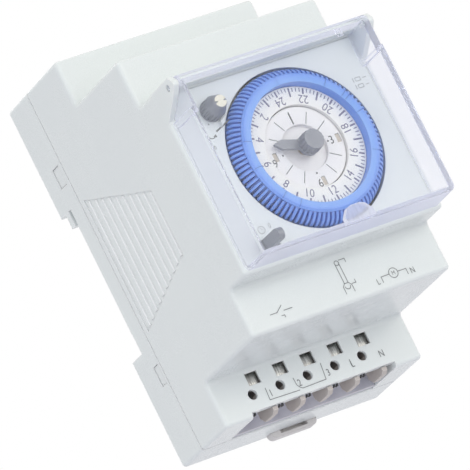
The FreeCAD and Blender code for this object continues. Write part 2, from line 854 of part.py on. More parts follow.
def make_front_housing():
    piece = Piece("front_housing")
    outline = [
        (seam_depth, -half_height), (lower_level_depth, -half_height), (lower_level_depth, -half_shoulder),
        (shoulder_depth, -half_shoulder), (shoulder_depth, -half_nose), (nose_depth, -half_nose),
        (nose_depth, half_nose), (shoulder_depth, half_nose), (shoulder_depth, half_shoulder),
        (upper_level_depth, half_shoulder), (upper_level_depth, half_height), (seam_depth, half_height),
    ]
    piece.add("side", [outline], -half_width, case_width)
    piece.round(outer_round, lambda edge: not lies_at(edge, depth=seam_depth))
    cut_front_cavity(piece)
    cut_nose_opening(piece)
    cut_seam(piece)
    cut_side_ribs(piece)
    cut_terminal_openings(piece)
    add_ears(piece)
    add_corner_posts(piece)
    add_snaps(piece)


def cut_front_cavity(piece):
    outline = [
        (seam_depth, -inner_height), (lower_level_depth - wall, -inner_height),
        (lower_level_depth - wall, -inner_shoulder), (shoulder_depth - wall, -inner_shoulder),
        (shoulder_depth - wall, -inner_nose), (ledge_back, -inner_nose), (ledge_back, inner_nose),
        (shoulder_depth - wall, inner_nose), (shoulder_depth - wall, inner_shoulder),
        (upper_level_depth - wall, inner_shoulder), (upper_level_depth - wall, inner_height),
        (seam_depth, inner_height),
    ]
    piece.cut("side", [outline], -inner_width, 2 * inner_width)


def cut_nose_opening(piece):
    """The opening behind the panel, with filled corners, and the seat that the panel drops into."""
    across = inner_width - ledge_reach
    up = inner_nose - ledge_reach_z
    opening = [
        (-across, -up + ledge_corner), (-across + ledge_corner, -up), (across - ledge_corner, -up),
        (across, -up + ledge_corner), (across, up - ledge_corner), (across - ledge_corner, up),
        (-across + ledge_corner, up), (-across, up - ledge_corner),
    ]
    piece.cut("front", [opening], ledge_back, panel_ledge)
    seat = rectangle(-inner_width, inner_width, -inner_nose, inner_nose)
    piece.cut("front", [seat], panel_back, panel_thickness)


def cut_seam(piece):
    """A shallow groove all round, where the two shells meet."""
    inner = half_width - seam_groove
    side = rectangle(seam_depth, seam_depth + seam_width, -half_height, half_height)
    piece.cut("side", [side], -half_width, seam_groove)
    piece.cut("side", [side], inner, seam_groove)
    strip = rectangle(-half_width, half_width, seam_depth, seam_depth + seam_width)
    piece.cut("top", [strip], -half_height, seam_groove)
    piece.cut("top", [strip], half_height - seam_groove, seam_groove)


def rib_edge(rear, front, depth):
    """The height of the rib field's sloping edge at a depth."""
    length = rib_pitch * (rib_count - 1)
    return rear + (front - rear) * ((depth - rib_first) / length)


def is_rib_crest(edge):
    """The long outer edges of the upright ribs."""
    places = []
    for index in range(rib_count):
        middle = rib_first + rib_pitch * index
        places += [middle - rib_width / 2, middle + rib_width / 2]
    on_wall = lies_at(edge, x=half_width) or lies_at(edge, x=-half_width)
    return on_wall and runs_along(edge, "z") and any(lies_at(edge, depth=place) for place in places)


def cut_side_ribs(piece):
    """A sunk field on each side, with upright ribs that stand flush with the wall."""
    length = rib_pitch * (rib_count - 1)
    start = rib_first - rib_pitch / 2
    end = rib_first + length + rib_pitch / 2
    field = [
        (start, rib_edge(rib_bottom_rear, rib_bottom_front, start) - rib_margin),
        (end, rib_edge(rib_bottom_rear, rib_bottom_front, end) - rib_margin),
        (end, rib_edge(rib_top_rear, rib_top_front, end) + rib_margin),
        (start, rib_edge(rib_top_rear, rib_top_front, start) + rib_margin),
    ]
    ribs = []
    for index in range(rib_count):
        depth = rib_first + rib_pitch * index
        low = rib_edge(rib_bottom_rear, rib_bottom_front, depth)
        high = rib_edge(rib_top_rear, rib_top_front, depth)
        ribs.append(rectangle(depth - rib_width / 2, depth + rib_width / 2, low, high))
    for start_x in (-half_width, half_width - rib_recess):
        piece.cut("side", [field], start_x, rib_recess)
        piece.add("side", ribs, start_x, rib_recess)
    piece.round(rib_round, is_rib_crest)


def release_outline(index, left_margin, right_margin, top_margin):
    """The window over a terminal's press pad, widened by the margins."""
    middle = terminal_x(index, release_shift)
    left = middle - release_width / 2 - left_margin
    right = middle + release_width / 2 + right_margin
    low = release_z - release_height / 2 - left_margin
    return rectangle(left, right, low, release_z + release_height / 2 + top_margin)


def cut_terminal_openings(piece):
    """Release windows, probe holes and the long wire entry at the bottom edge."""
    inner_face = lower_level_depth - wall
    openings = []
    rooms = []
    probe_rooms = []
    clips = []
    for index in range(terminal_count):
        openings.append(release_outline(index, 0, 0, 0))
        openings.append(Circle(terminal_x(index, probe_shift), probe_z, probe_radius))
        probe_rooms.append(Circle(terminal_x(index, probe_shift), probe_z, probe_radius + probe_room))
        rooms.append(release_outline(index, free_gap, release_room, release_room))
        clip = terminal_x(index) - terminal_pitch / 2 + clip_shift - clip_width / 2
        clips.append(rectangle(clip, clip + clip_width, inner_face, inner_face + clip_depth))
    piece.cut("front", openings, inner_face, wall)
    piece.cut("front", rooms, inner_face, wall - release_skin)
    piece.cut("front", probe_rooms, inner_face, wall - probe_skin)
    lip = rectangle(entry_left, entry_right, entry_back, lower_level_depth)
    piece.cut("top", [lip], -half_height, entry_lip)
    mouth = rectangle(entry_left, entry_right, entry_back, inner_face)
    piece.cut("top", [mouth], -half_height, wall)
    piece.cut("top", clips, -half_height, wall + clip_depth)


def add_ears(piece):
    """Two ears that carry the cover's pins, and the low wall between them."""
    outline = [
        (nose_depth - wall, ear_start - wall), (nose_depth, ear_start),
        (ear_front - ear_slope, hinge_z - ear_slope), (ear_front, hinge_z - ear_nose),
        (ear_front, hinge_z + ear_nose), (ear_front - ear_top, half_nose), (nose_depth - wall, half_nose),
    ]
    ear_inner = half_width - ear_thickness
    for start_x in (-half_width, ear_inner):
        piece.add("side", [outline], start_x, ear_thickness)
    wall_outline = rectangle(-ear_inner, ear_inner, hinge_wall_base, half_nose)
    piece.add("front", [wall_outline], nose_depth - wall, hinge_wall_front - nose_depth + wall)
    piece.round(ear_round, lambda edge: runs_along(edge, "x") and lies_at(edge, depth=ear_front))
    hole = Circle(hinge_depth, hinge_z, hinge_pin + running_gap)
    piece.cut("side", [hole], -half_width, ear_thickness)
    piece.cut("side", [hole], ear_inner, ear_thickness)


def corner_points():
    return [(x, z) for x in (-corner_post_x, corner_post_x) for z in (-corner_post_z, corner_post_z)]


def add_corner_posts(piece):
    """Posts behind the ledge that take the screws of the movement's front plate."""
    posts = [Circle(x, z, corner_post_radius) for x, z in corner_points()]
    piece.add("front", posts, front_plate_front, ledge_back - front_plate_front + gap)
    bores = [Circle(x, z, screw_radius) for x, z in corner_points()]
    piece.cut("front", bores, front_plate_front, ledge_back - front_plate_front)


def add_snaps(piece):
    """Tongues inside the side walls, whose barbs catch in the rear shell's windows."""
    outer = inner_width - gap
    inner = outer - snap_thickness
    half = snap_width / 2 - barb_gap
    reach = gap + wall - barb_sink
    places = ((snap_upper, snap_upper_start, snap_upper_end), (snap_lower, snap_lower_start, snap_lower_end))
    for place, start, end in places:
        tongue = rectangle(start, snap_root, place - half, place + half)
        root = rectangle(seam_depth + gap, snap_root, place - half, place + half)
        barb = rectangle(start + barb_gap, end - barb_gap, place - half, place + half)
        piece.add("side", [root], -inner_width, gap)
        piece.add("side", [tongue], -outer, snap_thickness)
        piece.add("side", [barb], -outer - reach, reach)
        piece.add("side", [root], outer, gap)
        piece.add("side", [tongue], inner, snap_thickness)
        piece.add("side", [barb], outer, reach)


# ---------------------------------------------------------------- terminals

def make_terminal_insert():
    """Holds the five clamps, and has a wire hole and a divider below each."""
    piece = Piece("terminal_insert")
    left = entry_left + gap
    right = entry_right - gap
    front = lower_level_depth - wall - gap
    outline = rectangle(left, right, insert_ceiling, insert_top)
    piece.add("front", [outline], insert_back, front - insert_back)
    back_wall = rectangle(left, right, 2 * gap - half_height, insert_ceiling)
    piece.add("front", [back_wall], insert_back, insert_wall)
    chambers = []
    holes = []
    probes = []
    half = clamp_width / 2 + 2 * gap
    chamber_floor = insert_ceiling + insert_wall
    for index in range(terminal_count):
        x = terminal_x(index)
        chambers.append(rectangle(x - half, x + half + release_shift, chamber_floor, insert_top))
        holes.append(rectangle(x - wire_hole / 2, x + wire_hole / 2,
                               wire_depth - wire_hole / 2, wire_depth + wire_hole / 2))
        probes.append(Circle(terminal_x(index, probe_shift), probe_z, probe_radius + probe_room))
    chamber_back = insert_back + insert_wall
    piece.cut("front", chambers, chamber_back, front - chamber_back)
    piece.cut("top", holes, insert_ceiling, insert_wall)
    piece.cut("front", probes, wire_depth, front - wire_depth)
    add_dividers(piece)


def add_dividers(piece):
    drop = -half_height - divider_drop
    corner = divider_thickness
    front = lower_level_depth - wall - gap
    outline = [
        (divider_back, insert_ceiling), (divider_back, drop + corner), (divider_back + corner, drop),
        (divider_front - corner, drop), (divider_front - gap, drop + corner / 2),
        (divider_front, -half_height + entry_lip - gap), (front, -half_height + entry_lip - gap),
        (front, insert_ceiling),
    ]
    for index in range(terminal_count):
        middle = terminal_x(index) + terminal_pitch / 2
        piece.add("side", [outline], middle - divider_thickness / 2, divider_thickness)


def make_terminal_clamps():
    """Each clamp is a spring loop against its busbar, with a press pad behind the release window."""
    front = lower_level_depth - wall - 2 * gap
    back = insert_back + insert_wall + busbar_sheet + gap
    low = insert_ceiling + insert_wall + gap
    high = insert_top - gap
    leg = release_z - release_height / 2 - 2 * gap
    foot = back + clamp_sheet + clamp_foot
    outline = [
        (back, low), (back + clamp_sheet, low), (back + clamp_sheet, high - clamp_sheet),
        (front - clamp_sheet, high - clamp_sheet), (front - clamp_sheet, leg + clamp_sheet),
        (foot, leg + clamp_sheet), (foot, leg), (front, leg), (front, high), (back, high),
    ]
    for index in range(terminal_count):
        piece = Piece(f"terminal_clamp_{index + 1}")
        piece.add("side", [outline], terminal_x(index) - clamp_width / 2, clamp_width)
        piece.add("front", [release_outline(index, 0, 0, 0)], front - clamp_sheet, press_pad)


def make_terminal_busbars():
    strips = []
    back = insert_back + insert_wall
    pin_z = -half_board_z + busbar_width / 2
    for index in range(terminal_count):
        x = terminal_x(index)
        low = insert_ceiling + insert_wall + gap
        strip = block(x - busbar_width / 2, x + busbar_width / 2, back, back + busbar_sheet,
                      low, pin_z + busbar_width / 2)
        pin = block(x - busbar_sheet / 2, x + busbar_sheet / 2, back + busbar_sheet,
                    board_front + busbar_sheet, pin_z - busbar_sheet / 2, pin_z + busbar_sheet / 2)
        strips.append(fuse([strip, pin]))
    group(strips, "terminal_busbars")


# ---------------------------------------------------------------- circuit board

def make_circuit_board():
    piece = Piece("circuit_board")
    piece.add("front", [rectangle(-half_board_x, half_board_x, -half_board_z, half_board_z)],
              board_back, board_thickness)
    holes = [Circle(x, z, stake_radius + gap) for x in (-post_x, post_x) for z in (-post_z, post_z)]
    pin_z = -half_board_z + busbar_width / 2
    reach = busbar_sheet / 2 + gap
    for index in range(terminal_count):
        x = terminal_x(index)
        holes.append(rectangle(x - reach, x + reach, pin_z - reach, pin_z + reach))
    piece.cut("front", holes, board_back, board_thickness)


def make_board_parts():
    front = board_front
    capacitor = Piece("mains_capacitor")
    can = rectangle(capacitor_left, capacitor_left + capacitor_width,
                    capacitor_bottom, capacitor_bottom + capacitor_height)
    capacitor.add("front", [can], front, capacitor_rise)
    capacitor.round(outer_round, lambda edge: not lies_at(edge, depth=front))
    resistors = []
    for column in range(resistor_columns):
        left = resistor_left + resistor_pitch_x * column
        for row in range(resistor_rows):
            resistors.append(cross_rod(left, left + resistor_length, front + resistor_radius + gap,
                                       resistor_top - resistor_pitch_z * row, resistor_radius))
    group(resistors, "board_resistors")
    chip = Piece("control_chip")
    body = rectangle(chip_left, chip_left + chip_width, chip_bottom, chip_bottom + chip_height)
    chip.add("front", [body], front + chip_stand, chip_rise)
    pins = []
    for index in range(chip_pins):
        left = chip_left + chip_pin_first + chip_pin_pitch * index
        pins.append(rectangle(left, left + chip_pin_width, chip_bottom - chip_pin_reach,
                              chip_bottom + chip_height + chip_pin_reach))
    chip.add("front", pins, front, chip_pin_rise)
    crystal = Piece("quartz_crystal")
    shell = rectangle(crystal_left, crystal_left + crystal_width,
                      crystal_bottom, crystal_bottom + crystal_height)
    crystal.add("front", [shell], front, crystal_rise)
    crystal.round(crystal_round, lambda edge: runs_along(edge, "y"))
    cell = Piece("reserve_cell", cell_x, cell_z)
    cell.add("front", [Circle(0, 0, cell_radius)], front, cell_rise)
    cell.round(cell_round, lambda edge: lies_at(edge, depth=front + cell_rise))
    cell.add("front", [Circle(0, 0, cell_lid_radius)], front + cell_rise, cell_lid)


# ---------------------------------------------------------------- movement

motion_x = dial_x
motion_z = -motion_distance
transfer_x, transfer_z = polar(dial_x, as_size(0), fine_distance, transfer_angle)
rotor_x, rotor_z = polar(transfer_x, transfer_z, fine_distance, rotor_angle)


def make_gear(name, teeth, module, centre, depths, bore, first_tooth):
    """A spur gear with thin straight-sided teeth. One tooth points at the first tooth's angle."""
    pitch_radius = module.number * teeth / 2
    root = pitch_radius - gear_dedendum * module.number
    tip = pitch_radius + gear_addendum * module.number
    profile = ((root, -tooth_root_share), (tip, -tooth_tip_share),
               (tip, tooth_tip_share), (root, tooth_root_share))
    step = 360 / teeth
    points = []
    for index in range(teeth):
        middle = first_tooth + index * step
        for radius, share in profile:
            angle = math.radians(middle + share * step)
            points.append(Vector(radius * math.cos(angle), 0, radius * math.sin(angle)))
    face = Part.Face(Part.makePolygon(points + points[:1]))
    length = (depths[1] - depths[0]).number
    solid = face.extrude(FORWARD * length)
    hole = Part.makeCylinder(as_size(bore).number, length, Vector(), FORWARD)
    gear = doc.addObject("Part::Feature", name)
    gear.Shape = solid.cut(hole)
    gear.Placement = Placement(Vector(centre[0].number, -depths[0].number, centre[1].number), Rotation())
    return gear


def make_gear_plates():
    pivots = [(transfer_x, transfer_z), (rotor_x, rotor_z)]
    half_x = inner_width - gap
    half_z = inner_nose - gap
    front = Piece("front_gear_plate")
    front.add("front", [rectangle(-half_x, half_x, -half_z, half_z)], front_plate_back, plate_thickness)
    holes = [Circle(x, z, pivot_radius + running_gap) for x, z in pivots]
    holes += [Circle(x, z, screw_radius + gap) for x, z in corner_points()]
    holes += [
        Circle(motion_x, motion_z, arbor_radius + running_gap),
        Circle(dial_x, 0, bush_radius - bush_wall),
        Circle(rocker_x, rocker_z, rocker_axle + running_gap),
    ]
    front.cut("front", holes, front_plate_back, plate_thickness)
    rear = Piece("rear_gear_plate")
    sheet_outline = rectangle(rear_plate_left, inner_width - 2 * gap, -half_rear_plate, half_rear_plate)
    rear.add("front", [sheet_outline], rear_plate_back, plate_thickness)
    pivots += [(motion_x, motion_z), (dial_x, 0)]
    rear.cut("front", [Circle(x, z, pivot_radius + running_gap) for x, z in pivots],
             rear_plate_back, plate_thickness)
    pillars = [rod(x, z, rear_plate_front, front_plate_back, pillar_radius) for x, z in pillar_places]
    group(pillars, "plate_pillars")


def make_screw(x, z, head_back, length):
    """A pan head screw whose head is at the back, with its shank pointing forward."""
    shoulder = head_back + screw_head_height
    head = rod(x, z, head_back, shoulder, screw_head)
    shank = rod(x, z, shoulder, shoulder + length, screw_radius - gap)
    return fuse([head, shank])


def make_screws():
    length = plate_thickness + ledge_back - front_plate_front - gap
    screws = [make_screw(x, z, front_plate_back - screw_head_height, length) for x, z in corner_points()]
    group(screws, "plate_screws")


def make_centre_bush():
    """A fixed bearing: the dial turns on its outside and the minute arbor inside it."""
    bush = Piece("centre_bush", dial_x)
    bush.turn("Revolution", [
        (front_plate_back, arbor_radius + running_gap), (front_plate_back, bush_radius - bush_wall - gap),
        (front_plate_front, bush_radius - bush_wall - gap), (front_plate_front, bush_radius + bush_wall),
        (front_plate_front + bush_wall, bush_radius + bush_wall),
        (front_plate_front + bush_wall, bush_radius),
        (bush_front, bush_radius), (bush_front, bush_bore), (web_back, bush_bore),
        (web_back, arbor_radius + running_gap),
    ])


def make_minute_train():
    arbor = Piece("minute_arbor", dial_x)
    arbor.turn("Revolution", [
        (rear_plate_back, 0), (rear_plate_back, pivot_radius), (rear_plate_front + gap, pivot_radius),
        (clutch_depth - arbor_lead, pivot_radius), (clutch_depth - arbor_lead, arbor_radius),
        (knob_front - knob_cap, arbor_radius), (knob_front - knob_cap, 0),
    ])
    depths = (motion_depth - 2 * gap, motion_depth + pinion_length - 2 * gap)
    make_gear("minute_pinion", minute_teeth, coarse_module, (dial_x, as_size(0)), depths,
              arbor_radius + press_gap, -90)
    washer_front = depths[0] - gap
    washer_back = clutch_depth + wheel_thickness + gap
    washer = Piece("clutch_washer", dial_x)
    washer.turn("Revolution", [
        (washer_back, washer_radius), (washer_back + washer_sheet, washer_radius), (washer_front, washer_top),
        (washer_front, arbor_radius + gap), (washer_front - washer_sheet, arbor_radius + gap),
    ])
    wheel_depths = (clutch_depth, clutch_depth + wheel_thickness)
    make_gear("clutch_wheel", clutch_teeth, fine_module, (dial_x, as_size(0)), wheel_depths,
              arbor_radius + running_gap, transfer_angle.number)


def make_arbor(name, x, z, teeth, module, pinion_depths, ends, shaft, first_tooth):
    """A pinion cut on a shaft that runs in both plates."""
    pinion = make_gear(f"{name}_leaves", teeth, module, (x, z), pinion_depths, shaft - press_gap, first_tooth)
    long_shaft = rod(x, z, ends[0], ends[1], shaft)
    parts = [pinion, long_shaft]
    if rear_plate_back.number < ends[0].number:
        parts.append(rod(x, z, rear_plate_back, ends[0] + gap, pivot_radius))
    if ends[1].number < front_plate_front.number:
        parts.append(rod(x, z, ends[1] - gap, front_plate_front, pivot_radius))
    return fuse(parts, name)


def make_motion_train():
    motion_front = web_back - 2 * gap
    make_arbor("motion_pinion", motion_x, motion_z, motion_pinion_teeth, fine_module,
               (motion_front - pinion_length + 2 * gap, motion_front), (rear_plate_front + gap, motion_front),
               motion_shaft, 90)
    wheel_depths = (motion_depth, motion_depth + wheel_thickness)
    make_gear("motion_wheel", motion_teeth, coarse_module, (motion_x, motion_z), wheel_depths,
              motion_shaft + press_gap, 90 + 180 / motion_teeth)
    make_gear("dial_gear", dial_teeth, fine_module, (dial_x, as_size(0)),
              (web_back - dial_gear_thickness, web_back), bush_radius + running_gap, -90 + 180 / dial_teeth)


def make_motor_train():
    toward_clutch = transfer_angle.number + 180 + 180 / small_pinion_teeth
    make_arbor("transfer_pinion", transfer_x, transfer_z, small_pinion_teeth, fine_module,
               (clutch_depth - 2 * gap, clutch_depth + pinion_length - 2 * gap),
               (rear_plate_front + gap, front_plate_back - gap), motor_shaft, toward_clutch)
    make_gear("transfer_wheel", transfer_teeth, fine_module, (transfer_x, transfer_z),
              (transfer_depth, transfer_depth + wheel_thickness), motor_shaft + press_gap, rotor_angle.number)
    toward_transfer = rotor_angle.number + 180 + 180 / small_pinion_teeth
    make_arbor("rotor_pinion", rotor_x, rotor_z, small_pinion_teeth, fine_module,
               (transfer_depth - 2 * gap, transfer_depth + pinion_length - 2 * gap),
               (rear_plate_front + gap, front_plate_back - gap), motor_shaft, toward_transfer)
    magnet = Piece("rotor_magnet", rotor_x, rotor_z)
    magnet.add("front", [Circle(0, 0, rotor_radius), Circle(0, 0, motor_shaft + press_gap)],
               rotor_depth, rotor_length)


def make_motor():
    """A laminated frame round the rotor, whose top bar carries the coil."""
    bar_back = rotor_depth + gap
    bar_front = rotor_depth + rotor_length - stator_inset + gap
    left = rotor_x - stator_half
    right = rotor_x + stator_half
    window_low = rotor_z + stator_reach
    bar_low = window_low + coil_room
    bar_high = bar_low + bar_height
    stator = Piece("motor_stator")
    length = bar_front - bar_back
    stator.add("front", [rectangle(left, right, rotor_z - stator_reach, bar_high)], bar_back, length)
    coil_window = rectangle(left + stator_leg, right - stator_leg, window_low, bar_low)
    rotor_bore = Circle(rotor_x, rotor_z, rotor_radius + stator_gap)
    stator.cut("front", [coil_window, rotor_bore], bar_back, length)
    coil_left = left + stator_leg + gap
    coil_right = right - stator_leg - gap
    tube = block(coil_left, coil_right, bar_back - bobbin_wall, bar_front + bobbin_wall,
                 bar_low - bobbin_wall, bar_high + bobbin_wall)
    flanges = [block(x, x + bobbin_wall, bar_back - flange_reach, bar_front + flange_reach,
                     bar_low - flange_drop, bar_high + flange_rise)
               for x in (coil_left, coil_right - bobbin_wall)]
    hollow = block(coil_left - gap, coil_right + gap, bar_back - bobbin_gap, bar_front + bobbin_gap,
                   bar_low - bobbin_gap, bar_high + bobbin_gap)
    subtract(fuse([tube] + flanges), [hollow], "coil_bobbin")
    inset = winding_inset
    winding = block(coil_left + bobbin_wall + gap, coil_right - bobbin_wall - gap,
                    bar_back - flange_reach + inset, bar_front + flange_reach - inset,
                    bar_low - flange_drop + inset, bar_high + flange_rise - inset / 2)
    core = block(coil_left, coil_right, bar_back - bobbin_wall - gap, bar_front + bobbin_wall + gap,
                 bar_low - bobbin_wall - gap, bar_high + bobbin_wall + gap)
    subtract(winding, [core], "coil_winding")


# ---------------------------------------------------------------- dial

def make_dial_carrier():
    """The blue ring: a web on the bush, a cap round the scale and a fin between each two segments."""
    piece = Piece("dial_carrier", dial_x)
    piece.turn("Revolution", [
        (web_back, bush_radius + running_gap), (web_back, flange_radius), (web_front, flange_radius),
        (web_front, core_outer), (cap_back, core_outer), (cap_back, cap_radius),
        (cap_back + cap_step, cap_radius), (cap_front, (cap_radius + core_outer) / 2),
        (cap_front, core_inner), (web_front, core_inner), (web_front, bush_radius + wall),
        (bush_front, bush_radius + wall), (bush_front, bush_radius + running_gap),
    ])
    outline = [
        (web_front - gap, core_outer - gap), (web_front - gap, fin_radius), (fin_shoulder, fin_radius),
        (cap_back + gap, fin_top), (cap_back + gap, core_outer - gap),
    ]
    fin = piece.add("side", [outline], dial_x - fin_thickness / 2, fin_thickness)
    piece.repeat(fin, segment_count)


def segment_crown():
    """Points along the rounded crown, drawn towards its corner between a segment's shoulder and front."""
    points = []
    for step in range(1, crown_steps):
        share = step / crown_steps
        start, pull, end = (1 - share) ** 2, 2 * share * (1 - share), share ** 2
        depth = segment_shoulder * start + crown_depth * pull + segment_front * end
        radius = segment_outer * start + crown_radius * pull + segment_top * end
        points.append((depth, radius))
    return points


def segment_outline():
    return [
        (segment_back, segment_inner), (segment_back, segment_foot),
        (segment_shoulder - free_gap, segment_outer), (segment_shoulder, segment_outer),
        *segment_crown(), (segment_front, segment_top), (segment_front, segment_inner),
    ]


def make_segment(name, degrees):
    """One switching segment, turned clockwise from the top about the dial's axis."""
    piece = Piece(name)
    piece.add("side", [segment_outline()], -segment_thickness / 2, segment_thickness)
    turn = Rotation(Vector(0, 1, 0), degrees)
    piece.body.Placement = Placement(Vector(dial_x.number, 0, 0), turn)
    tie(piece.body, "Placement.Base.x", dial_x)
    return piece


def segment_angle(index):
    return (first_moving + index + 0.5) * 360 / segment_count


def make_segments():
    """Eight neighbours can be pushed out one by one. The other segments share one node."""
    for index in range(moving_segments):
        make_segment(f"segment_{index + 1}", segment_angle(index))
    pattern = make_segment("segment_pattern", 0)
    doc.recompute()
    solids = []
    for index in range(moving_segments, segment_count):
        turn = Rotation(Vector(0, 1, 0), segment_angle(index))
        copy = pattern.body.Shape.copy()
        copy.Placement = Placement(Vector(dial_x.number, 0, 0), turn)
        solids.append(copy)
    rest = doc.addObject("Part::Feature", "switch_segments")
    rest.Shape = Part.makeCompound(solids)
    doc.removeObject(pattern.body.Name)


def make_hour_scale():
    piece = Piece("hour_scale", dial_x)
    outer = core_inner - gap
    under = scale_front - scale_thickness
    floor = web_front + gap
    piece.turn("Revolution", [
        (floor, scale_inner), (scale_front, scale_inner), (scale_front, outer), (floor, outer),
        (floor, outer - scale_wall), (under, outer - scale_wall), (under, scale_inner + scale_wall),
        (floor, scale_inner + scale_wall),
    ])


def make_face_disc():
    """The fixed twelve hour face, with a spigot that plugs into the bush."""
    piece = Piece("face_disc", dial_x)
    recess = face_front - face_recess
    back = bush_front + free_gap
    bore = arbor_radius + free_gap
    piece.turn("Revolution", [
        (web_back + gap, bore), (web_back + gap, bush_bore - running_gap), (back, bush_bore - running_gap),
        (back, face_radius), (face_front, face_radius), (face_front, face_recess_radius),
        (recess, face_recess_radius), (recess, bore),
    ])


def make_minute_hand():
    """The hand and its fluted setting knob, which is pressed on the arbor."""
    piece = Piece("minute_hand", dial_x)
    half = hand_width / 2
    bore = arbor_radius + press_gap
    floor = knob_front - knob_cap + gap
    piece.turn("Revolution", [
        (knob_back, bore), (knob_back, knob_radius), (knob_front, knob_radius - knob_taper), (knob_front, 0),
        (floor, 0), (floor, bore),
    ])
    tip = hand_tip / 2
    hand = [(half, arbor_radius + gap), (-half, arbor_radius + gap), (-half, hand_length - hand_point),
            (-tip, hand_length), (tip, hand_length), (half, hand_length - hand_point)]
    piece.add("front", [hand], knob_back, hand_thickness)
    flute = piece.cut("front", [Circle(0, knob_radius, flute_radius)],
                      knob_back + hand_thickness + gap, knob_front - knob_back)
    piece.repeat(flute, flute_count)
    tilt = Rotation(Vector(0, 1, 0), -hand_angle.number)
    centre = Vector(dial_x.number, 0, 0)
    piece.body.Placement = Placement(centre - tilt.multVec(centre), tilt)


# ---------------------------------------------------------------- panel, knob, lever and switch

lever_left = lever_x - lever_thickness / 2
lever_right = lever_x + lever_thickness / 2
lever_bottom = lever_z - lever_width / 2
lever_top = lever_z + lever_width / 2


def make_front_panel():
    piece = Piece("front_panel")
    outline = rectangle(-inner_width + gap, inner_width - gap, -inner_nose + gap, inner_nose - gap)
    piece.add("front", [outline], panel_back, panel_thickness)
    slot = rectangle(lever_left - gap, lever_right + lever_travel + gap, lever_bottom - gap, lever_top + gap)
    override_hole = Circle(override_x, override_z, override_shaft + running_gap)
    piece.cut("front", [Circle(dial_x, 0, panel_hole), override_hole, slot], panel_back, panel_thickness)
    finger_x, finger_z = polar(dial_x, as_size(0), pointer_radius, 90 + pointer_angle)
    finger_room = Circle(finger_x, finger_z, rocker_finger + 2 * free_gap + gap)
    piece.cut("front", [finger_room], panel_back, panel_thickness / 2)
    centre = (dial_x, as_size(0))
    angle = 90 + pointer_angle
    apex = polar(*centre, pointer_radius + gap, angle)
    near = polar(*centre, pointer_radius + pointer_spread, angle + pointer_lean)
    far = polar(*centre, pointer_radius + pointer_spread / 2, angle + 3 * pointer_lean / 2)
    piece.add("front", [[apex, near, far]], nose_depth - free_gap, pointer_height + free_gap)


def make_override_knob():
    """A fluted knob that steps in to a narrow front, on a shaft that carries the cam."""
    piece = Piece("override_knob", override_x, override_z)
    piece.turn("Revolution", [
        (panel_back, 0), (panel_back, override_shaft), (nose_depth + gap, override_shaft),
        (nose_depth + gap, override_radius), (override_shoulder, override_radius),
        (override_neck_back, override_neck), (override_front - free_gap, override_nose),
        (override_front, override_nose - free_gap), (override_front, 0),
    ])
    shaft_back = front_plate_front + gap
    piece.add("front", [Circle(0, 0, override_shaft)], shaft_back, panel_back - shaft_back)
    flute_back = nose_depth + override_foot
    length = override_front - flute_back
    flute = piece.cut("front", [Circle(0, override_radius, flute_radius)], flute_back, length)
    piece.repeat(flute, flute_count)


def make_override_cam():
    cam = Piece("override_cam", override_x, override_z)
    back = front_plate_front + 2 * gap
    edge = cam_radius - cam_flat
    cam.add("front", [Circle(0, 0, cam_radius)], back, cam_thickness)
    cam.cut("front", [Circle(0, 0, override_shaft + press_gap)], back, cam_thickness)
    cam.cut("front", [rectangle(-cam_radius, cam_radius, edge, cam_radius)], back, cam_thickness)


def make_mode_lever():
    """A paddle that stands on a slider behind the panel, which also fills the slot beside it."""
    piece = Piece("mode_lever")
    flange_back = panel_back - lever_flange - gap
    flange = rectangle(lever_left - lever_flange, lever_right + lever_travel + lever_flange,
                       lever_bottom - lever_lip, lever_top + lever_lip)
    piece.add("front", [flange], flange_back, lever_flange)
    paddle = rectangle(flange_back, lever_front, lever_bottom, lever_top)
    piece.add("side", [paddle], lever_left, lever_thickness)
    piece.round(lever_round, lambda edge: runs_along(edge, "x") and lies_at(edge, depth=lever_front))


def make_switch_rocker():
    """The feeler beside the ring, on an axle that goes through the front plate into the switch."""
    piece = Piece("switch_rocker", rocker_x, rocker_z)
    back = front_plate_front + gap
    tip = polar(dial_x, as_size(0), pointer_radius, 90 + pointer_angle)
    tip_x = tip[0] - rocker_x
    tip_z = tip[1] - rocker_z
    piece.add("front", [Circle(0, 0, rocker_axle + wall / 2)], back, rocker_thickness)
    half = rocker_finger + gap
    arm = [(gap, -wall / 2), (tip_x + half, tip_z - half), (tip_x + half, tip_z + half), (-gap, wall / 2)]
    piece.add("front", [arm], back, rocker_thickness)
    finger_front = panel_back + panel_thickness / 2 - free_gap
    piece.add("front", [Circle(tip_x, tip_z, rocker_finger)], back, finger_front - back)
    axle_back = switch_back + switch_wall + gap
    piece.add("front", [Circle(0, 0, rocker_axle)], axle_back, back - axle_back)


def make_contact_arm():
    """The moving contact, on the feeler's axle inside the switch."""
    arm = Piece("contact_arm", rocker_x, rocker_z)
    back = switch_back + arm_back
    half = arm_hub / 2
    arm.add("front", [rectangle(-half, half, -half, half), Circle(0, 0, rocker_axle + press_gap)],
            back, arm_hub_length)
    arm.add("front", [rectangle(half, arm_reach, -arm_sheet / 2, arm_sheet / 2)], back + arm_step, arm_width)
    end = arm_reach - arm_contact / 8
    arm.add("front", [rectangle(end - arm_contact, end, -arm_sheet, arm_sheet)], back + arm_step, arm_width)


